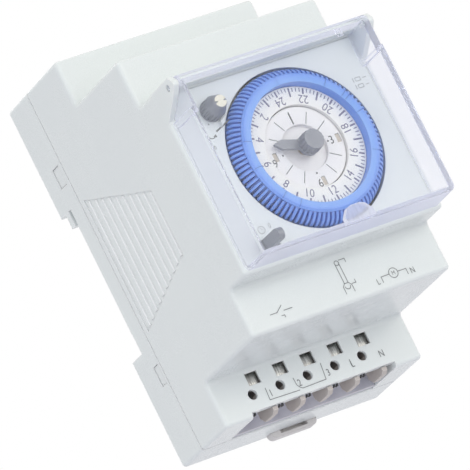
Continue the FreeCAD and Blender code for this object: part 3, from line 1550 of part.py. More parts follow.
def make_switch():
    case_front = front_plate_back - gap
    inner_left = switch_left + switch_wall
    inner_right = switch_right - switch_wall
    inner_bottom = switch_bottom + switch_wall
    inner_top = switch_top - switch_wall
    case = Piece("switch_case")
    case.add("front", [rectangle(switch_left, switch_right, switch_bottom, switch_top)], switch_back,
             case_front - switch_back)
    case.cut("front", [rectangle(inner_left, inner_right, inner_bottom, inner_top)],
             switch_back + switch_wall, case_front - switch_back - 2 * switch_wall)
    case.cut("front", [Circle(rocker_x, rocker_z, rocker_axle + running_gap)],
             case_front - switch_wall, switch_wall)
    half_sheet = blade_sheet / 2
    half_blade = blade_width / 2
    slots = []
    blades = []
    for x, z in blade_places:
        slots.append(rectangle(x - half_sheet - gap, x + half_sheet + gap,
                               z - half_blade - gap, z + half_blade + gap))
        blades.append(block(x - half_sheet, x + half_sheet, board_front + gap, switch_back + blade_length,
                            z - half_blade, z + half_blade))
    case.cut("front", slots, switch_back, switch_wall)
    group(blades, "switch_contacts")


# ---------------------------------------------------------------- cover

def make_clear_cover():
    """A clear hinged window. It is open at the back, and its own pins turn in the ears."""
    piece = Piece("clear_cover")
    back = nose_depth + gap
    wide = half_width - cover_inset
    front_half = wide - cover_taper
    body_outline = [(-wide, back), (wide, back), (front_half, cover_front), (-front_half, cover_front)]
    piece.add("top", [body_outline], cover_bottom, cover_top - cover_bottom)
    trims = [
        [(back, cover_bottom), (cover_front + gap, cover_bottom_front),
         (cover_front + gap, cover_bottom - gap), (back, cover_bottom - gap)],
        [(cover_front + gap, cover_top_front), (hinge_depth + roof_break, cover_top),
         (hinge_depth + roof_break, cover_top + gap), (cover_front + gap, cover_top + gap)],
    ]
    piece.cut("side", trims, -half_width, case_width)
    piece.round(cover_corner, is_cover_corner)
    piece.round(cover_round, lambda edge: -edge.CenterOfMass.y > cover_front.number - 0.01)
    hollow_cover(piece, back, wide)
    neck_cover(piece, back)
    add_cover_details(piece)


def is_cover_corner(edge):
    """The two edges where the sides meet the bottom."""
    middle = edge.CenterOfMass
    at_side = abs(middle.x) > (half_width - cover_inset - cover_skin).number
    return at_side and middle.z < (cover_bottom + cover_skin).number and abs(edge.tangentAt(0).y) > 0.9


def hollow_cover(piece, back, wide):
    """The wide room over the panel, and a narrower one above the neck where the ears are."""
    room_front = cover_front - cover_skin
    room_half = wide - cover_skin
    room_front_half = room_half - cover_taper
    low = cover_bottom + cover_skin
    room = [(-room_half, back), (room_half, back),
            (room_front_half, room_front), (-room_front_half, room_front)]
    piece.cut("top", [room], low, cover_neck - cover_skin - low)
    neck_half = half_width - ear_thickness - free_gap - cover_skin
    roof = cover_top - cover_skin
    upper = [(back, cover_neck - cover_skin - gap), (room_front, cover_neck - cover_skin - gap),
             (room_front, cover_top_front - cover_skin), (hinge_depth + roof_break, roof), (back, roof)]
    piece.cut("side", [upper], -neck_half, 2 * neck_half)


def neck_cover(piece, back):
    """Sets the side walls in, clear of the ears, and trims the roof so that it can swing."""
    neck = half_width - ear_thickness - free_gap
    side = rectangle(back - gap, cover_front + gap, cover_neck, cover_top + gap)
    piece.cut("side", [side], -half_width, half_width - neck)
    piece.cut("side", [side], neck, half_width - neck)
    above = hinge_wall_base - free_gap
    foot = hinge_z - cover_foot
    trim = [(back - gap, foot), (back + free_gap, foot), (back + free_gap, above), (cover_lid_back, above),
            (cover_lid_back, cover_top + gap), (back - gap, cover_top + gap)]
    piece.cut("side", [trim], -half_width, case_width)


def add_cover_details(piece):
    """The hinge pins, the finger tab and a blind notch in the front."""
    neck = half_width - ear_thickness - free_gap
    pin = Circle(hinge_depth, hinge_z, hinge_pin)
    reach = ear_thickness + free_gap - pin_recess
    overlap = cover_skin / 2
    piece.add("side", [pin], neck - overlap, reach + overlap)
    piece.add("side", [pin], -neck - reach, reach + overlap)
    half = tab_width / 2
    low = cover_bottom_front + gap
    high = low + tab_height
    tab = [(tab_x - half, low), (tab_x + half, low), (tab_x + half, low + tab_side),
           (tab_x + tab_shoulder, high - tab_chamfer), (tab_x + tab_tip, high), (tab_x - tab_tip, high),
           (tab_x - tab_shoulder, high - tab_chamfer), (tab_x - half, low + tab_side)]
    piece.add("front", [tab], cover_front - gap, tab_reach + gap)
    notch = rectangle(notch_x - notch_width / 2, notch_x + notch_width / 2, notch_z - notch_height / 2,
                      notch_z + notch_height / 2)
    piece.cut("front", [notch], cover_front - notch_depth, notch_depth)


# ---------------------------------------------------------------- build and export

def build():
    make_rear_housing()
    make_rail_latch()
    make_latch_spring()
    make_front_housing()
    make_terminal_insert()
    make_terminal_clamps()
    make_terminal_busbars()
    make_circuit_board()
    make_board_parts()
    make_gear_plates()
    make_screws()
    make_centre_bush()
    make_minute_train()
    make_motion_train()
    make_motor_train()
    make_motor()
    make_dial_carrier()
    make_segments()
    make_hour_scale()
    make_face_disc()
    make_minute_hand()
    make_front_panel()
    make_override_knob()
    make_override_cam()
    make_mode_lever()
    make_switch_rocker()
    make_contact_arm()
    make_switch()
    make_clear_cover()


def is_subpart(item):
    """A subpart is a solid that nothing else is built from."""
    if not hasattr(item, "Shape") or item.TypeId.startswith(("Sketcher", "App::")):
        return False
    if item.TypeId.startswith("PartDesign::") and item.TypeId != "PartDesign::Body":
        return False
    return not [user for user in item.InList if hasattr(user, "Shape")]


def export():
    doc.recompute()
    for item in doc.Objects:
        if "Invalid" in item.State or "Error" in item.State:
            raise ValueError(f"{item.Label} failed")
    os.makedirs("parts", exist_ok=True)
    subparts = [item for item in doc.Objects if is_subpart(item)]
    for item in subparts:
        shape = item.Shape
        if shape.isNull() or not shape.isValid() or not shape.Solids:
            raise ValueError(f"{item.Label} has no valid solid")
        shape.exportStep(f"parts/{item.Label}.step")
    print(len(subparts), "subparts")


build()
export()
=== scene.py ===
import math

import bmesh
import bpy
from mathutils import Matrix, Vector


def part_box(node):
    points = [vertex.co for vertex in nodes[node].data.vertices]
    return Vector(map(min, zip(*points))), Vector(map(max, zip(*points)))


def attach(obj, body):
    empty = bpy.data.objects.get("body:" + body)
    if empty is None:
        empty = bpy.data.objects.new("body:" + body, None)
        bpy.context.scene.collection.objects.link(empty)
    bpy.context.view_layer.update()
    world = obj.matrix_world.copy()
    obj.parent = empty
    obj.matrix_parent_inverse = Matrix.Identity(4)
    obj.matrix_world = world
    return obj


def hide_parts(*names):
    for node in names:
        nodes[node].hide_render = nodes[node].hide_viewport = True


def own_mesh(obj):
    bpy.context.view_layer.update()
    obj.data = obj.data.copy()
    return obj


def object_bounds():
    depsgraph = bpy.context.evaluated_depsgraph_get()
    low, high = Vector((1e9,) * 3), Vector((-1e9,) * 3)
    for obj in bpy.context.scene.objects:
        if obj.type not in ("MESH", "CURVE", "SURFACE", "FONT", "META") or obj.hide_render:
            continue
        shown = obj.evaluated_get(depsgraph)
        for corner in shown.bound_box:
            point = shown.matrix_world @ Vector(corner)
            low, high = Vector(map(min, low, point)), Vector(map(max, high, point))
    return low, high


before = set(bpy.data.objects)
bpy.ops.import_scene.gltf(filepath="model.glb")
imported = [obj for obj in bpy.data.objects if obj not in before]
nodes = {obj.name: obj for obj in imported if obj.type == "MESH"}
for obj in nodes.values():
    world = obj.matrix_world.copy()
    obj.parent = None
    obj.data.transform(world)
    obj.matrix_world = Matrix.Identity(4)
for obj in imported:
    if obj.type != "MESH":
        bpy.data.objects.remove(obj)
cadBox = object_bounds()
mm = 0.001
terminalNumbers = range(1, 6)
segmentNumbers = range(1, 9)


class Wire:
    # one output of a finish; arithmetic on it adds Math nodes
    def __init__(self, finish, socket):
        self.finish = finish
        self.socket = socket

    def math(self, operation, *others):
        return self.finish.node("Math", {"operation": operation}, [self, *others])

    def __add__(self, other):
        return self.math("ADD", other)

    def __sub__(self, other):
        return self.math("SUBTRACT", other)

    def __rsub__(self, other):
        return self.finish.node("Math", {"operation": "SUBTRACT"}, [other, self])

    def __mul__(self, other):
        return self.math("MULTIPLY", other)

    def __truediv__(self, other):
        return self.math("DIVIDE", other)

    def __gt__(self, other):
        return self.math("GREATER_THAN", other)

    def __lt__(self, other):
        return self.math("LESS_THAN", other)

    __radd__ = __add__

    def between(self, low, high):
        # 0 at low and 1 at high, held outside them
        return self.finish.node(
            "MapRange", {"interpolation_type": "SMOOTHSTEP"}, [self, low, high, 0.0, 1.0])


class Finish:
    # a material being made, or the world's nodes
    bevelSamples = 4

    def __init__(self, name, tree=None):
        if tree is None:
            self.material = bpy.data.materials.new(name)
            self.material.use_nodes = True
            tree = self.material.node_tree
        self.tree = tree
        self.tree.nodes.clear()

    def node(self, kind, settings=None, sockets=None, output=0):
        # settings come first; sockets are named, or given in order
        made = self.tree.nodes.new("ShaderNode" + kind)
        for name, value in (settings or {}).items():
            setattr(made, name, value)
        pairs = sockets.items() if isinstance(sockets, dict) else enumerate(sockets or [])
        for place, value in pairs:
            if isinstance(value, Wire):
                self.tree.links.new(value.socket, made.inputs[place])
            elif value is not None:
                made.inputs[place].default_value = value
        return Wire(self, made.outputs[output]) if made.outputs else None

    def where(self, stretch=(1, 1, 1)):
        spot = self.node("TexCoord", output="Object")
        return self.node("VectorMath", {"operation": "MULTIPLY"}, [spot, stretch])

    def along(self, axis):
        spot = self.node("TexCoord", output="Object")
        return self.node("SeparateXYZ", sockets=[spot], output=axis)

    def noise(self, grainSize, detail=2.0, stretch=(1, 1, 1), roughness=0.5):
        # grainSize is in millimetres
        return self.node("TexNoise", {"noise_dimensions": "3D"}, {
            "Vector": self.where(stretch), "Scale": 1 / (grainSize * mm), "Detail": detail,
            "Roughness": roughness})

    def mix(self, factor, low, high):
        # sockets 6 and 7 and output 2 are the colour ones
        ends = {0: factor, 6: asColour(low), 7: asColour(high)}
        return self.node("Mix", {"data_type": "RGBA"}, ends, output=2)

    def softNormal(self, radius):
        return self.node("Bevel", {"samples": self.bevelSamples}, [radius * mm])

    def edge(self, softNormal, reach=0.12):
        # 1 on sharp edges and corners, 0 on flat faces
        facing = self.node("VectorMath", {"operation": "DOT_PRODUCT"}, [
            softNormal, self.node("NewGeometry", output="Normal")], output="Value")
        return (1 - facing).between(0.0, reach)

    def bump(self, height, depth, normal=None):
        return self.node("Bump", {}, {
            "Strength": 1.0, "Distance": depth * mm, "Height": height, "Normal": normal})

    def radius(self, x, z):
        # distance from an axis that runs front to back, in millimetres
        across = self.along(0) / mm - x
        up = self.along(2) / mm - z
        return (across * across + up * up).math("SQRT")

    def surface(self, sockets):
        self.node("OutputMaterial", {}, {"Surface": self.node("BsdfPrincipled", {}, sockets)})
        return self.material


def asColour(value):
    return value if isinstance(value, Wire) else (*value, 1.0)


def dress(names, material):
    for name in names:
        slots = nodes[name].material_slots
        if not slots:
            nodes[name].data.materials.append(material)
        for place in slots:
            place.material = material


# moulded plastics: grain from the mould, slow colour drift, smoother edges with a painted highlight
# along them (a darker painted edge line on the scale and face)
mouldLook = {
    "grainDetail": 3.0, "driftReach": (0.3, 0.7), "speckSize": 6, "speckDetail": 4.0,
    "speckRough": 0.7, "speckReach": (0.62, 0.75), "flankStart": (0.2, 0.5),
    "flankEnd": (0.95, 0.998), "grainShine": 0.16, "driftShine": 0.06, "edgeShine": 0.1,
    "coatRoughness": 0.25, "soak": 0.0, "soakDepth": 0.5,
}


def mouldedPlastic(name, ownLook):
    look = {**mouldLook, **ownLook}
    finish = Finish(name)
    normal = finish.softNormal(look["edgeRound"])
    edge = finish.edge(normal)
    grain = finish.noise(look["grain"], look["grainDetail"])
    drift = finish.noise(look["drift"]).between(*look["driftReach"])
    speck = finish.noise(look["grain"] * look["speckSize"], look["speckDetail"],
                         roughness=look["speckRough"]).between(*look["speckReach"])
    colour = finish.mix(drift, look["colour"], look["driftColour"])
    colour = finish.mix(speck * look["specks"], colour, look["speckColour"])
    if "deepShadeColour" in look:
        # painted shade: walls less than this many millimetres in front of the frame's origin, deep
        # in the wire entry, take the cooler lavender-grey of the shaded insert
        deepShade = (finish.along(1) / mm) > -look["deepWithin"]
        colour = finish.mix(deepShade, colour, look["deepShadeColour"])
    if "flankHighlightColour" in look:
        # painted highlight on the rounded flanks of the side ribs: neither flat on the side nor
        # square to it
        facing = finish.node("TexCoord", output="Normal")
        lean = finish.node("SeparateXYZ", sockets=[facing]).math("ABSOLUTE")
        depth = finish.along(1) / mm * -1
        height = (finish.along(2) / mm).math("ABSOLUTE")
        back, front = look["crestReach"]
        flankHighlight = lean.between(*look["flankStart"]) * (1 - lean.between(*look["flankEnd"]))
        flankHighlight = flankHighlight * (height < look["crestHeight"]) * (depth > back) * (depth < front)
        colour = finish.mix(flankHighlight * look["flankHighlightShare"], colour, look["flankHighlightColour"])
    # painted highlight along edges and corners; on the scale and face the painted edge colour is
    # darker
    colour = finish.mix(edge * look["paintedEdgeShare"], colour, look["paintedEdgeColour"])
    roughness = (look["roughness"] + (grain - 0.5) * look["grainShine"]
                 + (drift - 0.5) * look["driftShine"] - edge * look["edgeShine"])
    # light that soaks into pale plastic softens its grooves
    return finish.surface({
        "Base Color": colour, "Roughness": roughness,
        "Normal": finish.bump(grain, look["grainDepth"], normal), "IOR": look["ior"],
        "Coat Weight": look["coat"], "Coat Roughness": look["coatRoughness"],
        "Subsurface Weight": look["soak"], "Subsurface Radius": (1.0, 1.0, 1.0),
        "Subsurface Scale": look["soakDepth"] * mm})


# bright or brushed metal: streaks along one direction, a little tarnish
metalLook = {
    "streakDetail": 3.0, "streakRough": 0.6, "streakReach": (0.35, 0.65), "stainDetail": 3.0,
    "stainReach": (0.45, 0.75), "paintedEdgeShare": 0.7, "streakShine": 0.25, "stainShine": 0.1,
}


def sheetMetal(name, ownLook):
    look = {**metalLook, **ownLook}
    finish = Finish(name)
    normal = finish.softNormal(look["edgeRound"])
    streak = finish.noise(
        look["streak"], look["streakDetail"], look["stretch"], look["streakRough"])
    tarnish = finish.noise(look["stain"], look["stainDetail"]).between(*look["stainReach"])
    colour = finish.mix(streak.between(*look["streakReach"]), look["dark"], look["bright"])
    colour = finish.mix(tarnish * look["stainShare"], colour, look["stainColour"])
    # painted highlight: edges and corners are mixed towards the bright colour
    colour = finish.mix(finish.edge(normal) * look["paintedEdgeShare"], colour, look["bright"])
    if "crown" in look:
        # the press pads bulge a little, lower than the middle of each clamp
        low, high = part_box("terminal_clamp_1")
        offset = finish.along(2) / mm - ((low.z + high.z) / 2 / mm - look["crownDrop"])
        normal = finish.bump(offset * offset * -look["crown"], 1.0, normal)
    roughness = (look["roughness"] + (streak - 0.5) * look["streakShine"]
                 + tarnish * look["stainShine"])
    return finish.surface({
        "Base Color": colour, "Metallic": 1.0, "Roughness": roughness,
        "Normal": finish.bump(streak, look["streakDepth"], normal)})


# printing ink: slightly uneven cover over the grain of the plastic
inkLook = {
    "coverDetail": 4.0, "coverRough": 0.7, "coverReach": (0.35, 0.7), "roughness": 0.45,
    "coverShine": 0.2, "ior": 1.45, "depth": 0.004,
}


def printInk(name, ownLook):
    look = {**inkLook, **ownLook}
    finish = Finish(name)
    cover = finish.noise(look["grain"], look["coverDetail"], roughness=look["coverRough"])
    return finish.surface({
        "Base Color": finish.mix(
            cover.between(*look["coverReach"]), look["colour"], look["worn"]),
        "Roughness": look["roughness"] + cover * look["coverShine"], "IOR": look["ior"],
        "Normal": finish.bump(cover, look["depth"])})


plasticLooks = {
    "housing": {"colour": (0.772, 0.804, 0.80), "driftColour": (0.762, 0.794, 0.793),
                "speckColour": (0.70, 0.73, 0.71), "paintedEdgeColour": (0.93, 0.945, 0.93),
                "paintedEdgeShare": 0.9, "edgeRound": 0.3, "grain": 0.16, "grainDepth": 0.004, "drift": 17,
                "specks": 0.25, "roughness": 0.27, "ior": 1.48, "coat": 0.0, "soak": 0.6,
                "soakDepth": 0.9, "flankHighlightColour": (0.98, 0.99, 0.985), "flankHighlightShare": 0.9,
                "crestReach": (6.6, 33.9), "crestHeight": 17.0},
    "panel": {"colour": (0.77, 0.805, 0.82), "driftColour": (0.76, 0.795, 0.812),
              "speckColour": (0.73, 0.76, 0.76), "paintedEdgeColour": (0.84, 0.87, 0.88), "paintedEdgeShare": 0.6,
              "edgeRound": 0.2, "grain": 0.14, "grainDepth": 0.008, "drift": 12, "specks": 0.2,
              "roughness": 0.48, "ior": 1.45, "coat": 0.0},
    "beige": {"colour": (0.55, 0.50, 0.465), "driftColour": (0.53, 0.49, 0.465),
              "speckColour": (0.42, 0.38, 0.36), "paintedEdgeColour": (0.84, 0.80, 0.76), "paintedEdgeShare": 0.9,
              "edgeRound": 0.25, "grain": 0.14, "grainDepth": 0.010, "drift": 6, "specks": 0.3,
              "roughness": 0.5, "ior": 1.45, "coat": 0.0, "deepShadeColour": (0.63, 0.63, 0.70),
              "deepWithin": 10.3},
    "latch": {"colour": (0.68, 0.655, 0.645), "driftColour": (0.655, 0.63, 0.62),
              "speckColour": (0.55, 0.52, 0.50), "paintedEdgeColour": (0.76, 0.74, 0.73), "paintedEdgeShare": 0.7,
              "edgeRound": 0.3, "grain": 0.15, "grainDepth": 0.010, "drift": 9, "specks": 0.3,
              "roughness": 0.45, "ior": 1.45, "coat": 0.0},
    "scale": {"colour": (0.905, 0.895, 0.86), "driftColour": (0.895, 0.88, 0.845),
              "speckColour": (0.80, 0.78, 0.76), "paintedEdgeColour": (0.66, 0.58, 0.50),
              "paintedEdgeShare": 0.75, "edgeRound": 0.12, "grain": 0.12, "grainDepth": 0.003, "drift": 4,
              "specks": 0.2, "roughness": 0.42, "ior": 1.45, "coat": 0.0},
    "face": {"colour": (0.885, 0.875, 0.88), "driftColour": (0.875, 0.86, 0.865),
             "speckColour": (0.78, 0.77, 0.77), "paintedEdgeColour": (0.70, 0.66, 0.62), "paintedEdgeShare": 0.6,
             "edgeRound": 0.12, "grain": 0.12, "grainDepth": 0.003, "drift": 5, "specks": 0.2,
             "roughness": 0.42, "ior": 1.45, "coat": 0.0},
    "grey": {"colour": (0.245, 0.258, 0.298), "driftColour": (0.228, 0.24, 0.28),
             "speckColour": (0.15, 0.155, 0.18), "paintedEdgeColour": (0.34, 0.35, 0.39), "paintedEdgeShare": 0.8,
             "edgeRound": 0.12, "grain": 0.10, "grainDepth": 0.005, "drift": 3, "specks": 0.3,
             "roughness": 0.36, "ior": 1.5, "coat": 0.15},
    "hand": {"colour": (0.275, 0.285, 0.325), "driftColour": (0.255, 0.265, 0.305),
             "speckColour": (0.20, 0.205, 0.23), "paintedEdgeColour": (0.46, 0.47, 0.51), "paintedEdgeShare": 0.8,
             "edgeRound": 0.12, "grain": 0.10, "grainDepth": 0.005, "drift": 3, "specks": 0.3,
             "roughness": 0.36, "ior": 1.5, "coat": 0.15},
    "cream": {"colour": (0.80, 0.77, 0.66), "driftColour": (0.77, 0.74, 0.62),
              "speckColour": (0.66, 0.62, 0.50), "paintedEdgeColour": (0.86, 0.84, 0.75), "paintedEdgeShare": 0.6,
              "edgeRound": 0.08, "grain": 0.08, "grainDepth": 0.003, "drift": 5, "specks": 0.2,
              "roughness": 0.35, "ior": 1.48, "coat": 0.2},
    "black": {"colour": (0.035, 0.036, 0.04), "driftColour": (0.045, 0.045, 0.05),
              "speckColour": (0.08, 0.08, 0.085), "paintedEdgeColour": (0.11, 0.11, 0.12),
              "paintedEdgeShare": 0.7, "edgeRound": 0.1, "grain": 0.09, "grainDepth": 0.004, "drift": 4,
              "specks": 0.4, "roughness": 0.42, "ior": 1.5, "coat": 0.0},
    "yellow": {"colour": (0.74, 0.53, 0.10), "driftColour": (0.70, 0.49, 0.09),
               "speckColour": (0.55, 0.38, 0.07), "paintedEdgeColour": (0.83, 0.64, 0.2), "paintedEdgeShare": 0.7,
               "edgeRound": 0.25, "grain": 0.2, "grainDepth": 0.003, "drift": 6, "specks": 0.25,
               "roughness": 0.25, "ior": 1.5, "coat": 0.3},
    "lacquer": {"colour": (0.30, 0.46, 0.62), "driftColour": (0.27, 0.42, 0.58),
                "speckColour": (0.2, 0.3, 0.44), "paintedEdgeColour": (0.4, 0.56, 0.7), "paintedEdgeShare": 0.5,
                "edgeRound": 0.08, "grain": 0.15, "grainDepth": 0.004, "drift": 2, "specks": 0.3,
                "roughness": 0.3, "ior": 1.5, "coat": 0.3},
    "ferrite": {"colour": (0.055, 0.055, 0.06), "driftColour": (0.075, 0.073, 0.075),
                "speckColour": (0.16, 0.15, 0.15), "paintedEdgeColour": (0.12, 0.12, 0.125),
                "paintedEdgeShare": 0.6, "edgeRound": 0.1, "grain": 0.06, "grainDepth": 0.008,
                "drift": 1.5, "specks": 0.5, "roughness": 0.55, "ior": 1.6, "coat": 0.0},
}
plasticNodes = {
    "housing": ["rear_housing", "front_housing"],
    "panel": ["front_panel"],
    "beige": ["terminal_insert"],
    "latch": ["rail_latch"],
    "scale": ["hour_scale"],
    "face": ["face_disc"],
    "grey": ["override_knob", "mode_lever"],
    "hand": ["minute_hand"],
    "cream": ["centre_bush", "minute_pinion", "motion_wheel", "motion_pinion", "clutch_wheel",
              "transfer_wheel", "transfer_pinion", "rotor_pinion", "dial_gear", "override_cam",
              "switch_rocker"],
    "black": ["control_chip", "coil_bobbin", "switch_case"],
    "yellow": ["mains_capacitor"],
    "lacquer": ["board_resistors"],
    "ferrite": ["rotor_magnet"],
}
for kind, names in plasticNodes.items():
    dress(names, mouldedPlastic(kind + "Plastic", plasticLooks[kind]))

metalLooks = {
    "plated": {"bright": (0.70, 0.69, 0.67), "dark": (0.34, 0.33, 0.32),
               "stainColour": (0.40, 0.37, 0.34), "stainShare": 0.2, "streak": 0.16,
               "stretch": (1, 1, 0.08), "streakDepth": 0.006, "stain": 2.0, "edgeRound": 0.15,
               "roughness": 0.36, "crown": 0.10, "crownDrop": 0.7},
    "steel": {"bright": (0.72, 0.71, 0.70), "dark": (0.46, 0.45, 0.45),
              "stainColour": (0.40, 0.37, 0.34), "stainShare": 0.3, "streak": 0.3,
              "stretch": (1, 1, 0.2), "streakDepth": 0.006, "stain": 2.0, "edgeRound": 0.08,
              "roughness": 0.32},
    "spring": {"bright": (0.68, 0.68, 0.70), "dark": (0.45, 0.45, 0.47),
               "stainColour": (0.3, 0.27, 0.24), "stainShare": 0.2, "streak": 0.1,
               "stretch": (1, 1, 0.3), "streakDepth": 0.003, "stain": 1.0, "edgeRound": 0.03,
               "roughness": 0.25},
    "brass": {"bright": (0.80, 0.62, 0.30), "dark": (0.62, 0.45, 0.20),
              "stainColour": (0.45, 0.30, 0.13), "stainShare": 0.35, "streak": 0.2,
              "stretch": (1, 1, 0.12), "streakDepth": 0.006, "stain": 3.0, "edgeRound": 0.08,
              "roughness": 0.28},
    "plate": {"bright": (0.40, 0.40, 0.42), "dark": (0.27, 0.27, 0.29),
              "stainColour": (0.20, 0.20, 0.22), "stainShare": 0.3, "streak": 0.3,
              "stretch": (0.08, 1, 1), "streakDepth": 0.005, "stain": 6.0, "edgeRound": 0.1,
              "roughness": 0.32},
    "can": {"bright": (0.74, 0.74, 0.76), "dark": (0.58, 0.58, 0.60),
            "stainColour": (0.45, 0.44, 0.44), "stainShare": 0.2, "streak": 0.3,
            "stretch": (0.2, 1, 1), "streakDepth": 0.003, "stain": 3.0, "edgeRound": 0.15,
            "roughness": 0.22},
}
metalNodes = {
    "plated": ["terminal_clamp_%d" % number for number in terminalNumbers],
    "steel": ["plate_screws", "motor_stator"],
    "spring": ["latch_spring", "clutch_washer", "contact_arm"],
    "brass": ["terminal_busbars", "minute_arbor", "plate_pillars", "switch_contacts"],
    "plate": ["front_gear_plate", "rear_gear_plate"],
    "can": ["quartz_crystal", "reserve_cell"],
}
for kind, names in metalNodes.items():
    dress(names, sheetMetal(kind + "Metal", metalLooks[kind]))

boardLook = {
    "mask": (0.03, 0.17, 0.085), "overCopper": (0.06, 0.27, 0.13), "lane": 1.27,
    "trackShare": 0.42, "crossShare": 0.25, "blockScale": 140.0, "blockChoice": 0.45,
    "weave": 0.3, "weaveHeight": 0.1, "weaveShine": 0.12, "roughness": 0.3, "depth": 0.02,
    "coat": 0.2,
}


def boardLaminate(look):
    # solder resist, a lighter green where a copper track runs under it
    finish = Finish("boardLaminate")
    lane = (finish.along(2) / (look["lane"] * mm)).math("FRACT")
    crossLane = (finish.along(0) / (look["lane"] * 2 * mm)).math("FRACT")
    blocks = finish.node("TexVoronoi", {"distance": "MANHATTAN"}, {
        "Vector": finish.where(), "Scale": look["blockScale"]}, output="Color")
    choice = finish.node("SeparateColor", sockets=[blocks])
    track = ((lane < look["trackShare"]) * (choice > look["blockChoice"])
             + (crossLane < look["crossShare"]) * (choice < look["blockChoice"]))
    weave = finish.noise(look["weave"])
    return finish.surface({
        "Base Color": finish.mix(track.math("MINIMUM", 1.0), look["mask"], look["overCopper"]),
        "Roughness": look["roughness"] + weave * look["weaveShine"],
        "Normal": finish.bump(track + weave * look["weaveHeight"], look["depth"]),
        "Coat Weight": look["coat"]})


windingLook = {
    "wire": (0.62, 0.30, 0.16), "gap": (0.22, 0.09, 0.04), "pitch": 0.16, "lay": 0.8,
    "layShine": 0.2, "metallic": 0.8, "roughness": 0.25, "depth": 0.05,
}


def wireWinding(look):
    # enamelled copper turns side by side, with painted shade in the grooves between them
    finish = Finish("copperWinding")
    turn = ((finish.along(0) + finish.along(1)) / (look["pitch"] * mm)).math("FRACT")
    crown = 1 - (turn - 0.5) * (turn - 0.5) * 4
    return finish.surface({
        "Base Color": finish.mix(crown, look["gap"], look["wire"]),
        "Metallic": crown * look["metallic"],
        "Roughness": look["roughness"] + finish.noise(look["lay"]) * look["layShine"],
        "Normal": finish.bump(crown, look["depth"])})


dress(["circuit_board"], boardLaminate(boardLook))
dress(["coil_winding"], wireWinding(windingLook))
print("plastics, metals, board and winding are dressed")

# the dial: blue ring with its smooth band, fins and push-out segments
dialLow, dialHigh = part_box("hour_scale")
dialX = (dialLow.x + dialHigh.x) / 2 / mm
dialLook = {
    "colour": (0.165, 0.335, 0.86), "drift": 5.0, "driftColour": (0.15, 0.31, 0.82),
    "driftReach": (0.3, 0.7), "bandColour": (0.19, 0.375, 0.84), "bandOuter": 15.5,
    "bandBlur": 0.15, "bandFront": 55.3, "bandShine": 0.06, "paintedEdgeColour": (0.34, 0.54, 0.93),
    "edgeRound": 0.1, "paintedEdgeShare": 0.7, "scuff": 0.5, "scuffDetail": 4.0,
    "scuffStretch": (1, 1, 0.3), "scuffRough": 0.7, "scuffReach": (0.6, 0.72),
    "scuffColour": (0.36, 0.52, 0.86), "scuffShare": 0.2, "scuffShine": 0.1, "grain": 0.12,
    "grainDetail": 3.0, "grainDepth": 0.004, "grainShine": 0.16, "roughness": 0.36, "ior": 1.5,
    "coat": 0.15, "coatRoughness": 0.3,
}


def bluePlastic(look):
    finish = Finish("bluePlastic")
    normal = finish.softNormal(look["edgeRound"])
    edge = finish.edge(normal)
    grain = finish.noise(look["grain"], look["grainDetail"])
    drift = finish.noise(look["drift"]).between(*look["driftReach"])
    scuff = finish.noise(look["scuff"], look["scuffDetail"], look["scuffStretch"],
                         look["scuffRough"]).between(*look["scuffReach"])
    outside = finish.radius(dialX, 0).between(
        look["bandOuter"], look["bandOuter"] + look["bandBlur"])
    band = (1 - outside) * ((finish.along(1) / mm) < -look["bandFront"])
    colour = finish.mix(drift, look["colour"], look["driftColour"])
    colour = finish.mix(band, colour, look["bandColour"])
    # painted highlight along the edges of the blue parts
    colour = finish.mix(edge * look["paintedEdgeShare"], colour, look["paintedEdgeColour"])
    colour = finish.mix(scuff * look["scuffShare"], colour, look["scuffColour"])
    roughness = (look["roughness"] + (grain - 0.5) * look["grainShine"]
                 - band * look["bandShine"] + scuff * look["scuffShine"])
    return finish.surface({
        "Base Color": colour, "Roughness": roughness,
        "Normal": finish.bump(grain, look["grainDepth"], normal), "IOR": look["ior"],
        "Coat Weight": look["coat"], "Coat Roughness": look["coatRoughness"]})


blueNodes = ["dial_carrier", "switch_segments"]
blueNodes += ["segment_%d" % number for number in segmentNumbers]
dress(blueNodes, bluePlastic(dialLook))

# the cover: clear moulding, milky where it is seen along its walls and edges
coverLook = {
    "skin": (0.985, 0.988, 1.0), "lampTint": (0.95, 0.955, 0.97), "ior": 1.2,
    "edgeRound": 0.35, "edgeReach": 0.3, "grazing": (0.25, 0.80), "milk": (0.87, 0.88, 0.98),
    "milkBase": 0.01, "milkGrazing": 0.72, "milkEdge": 0.7, "milkHaze": 0.006, "milkTab": 0.70,
    "milkGlow": 0.5, "tabReach": 1.15, "tabMottle": 0.5, "haze": 9.0, "hazeDetail": 3.0,
    "hazeReach": (0.35, 0.75), "hazeShine": 0.02, "fine": 0.9, "fineDetail": 4.0,
    "fineStretch": (1, 1, 0.25), "fineRough": 0.7, "fineHeight": 0.05, "fineShine": 0.01,
    "roughness": 0.01, "depth": 0.006, "coat": 0.1, "coatIor": 1.4, "coatRoughness": 0.05,
}


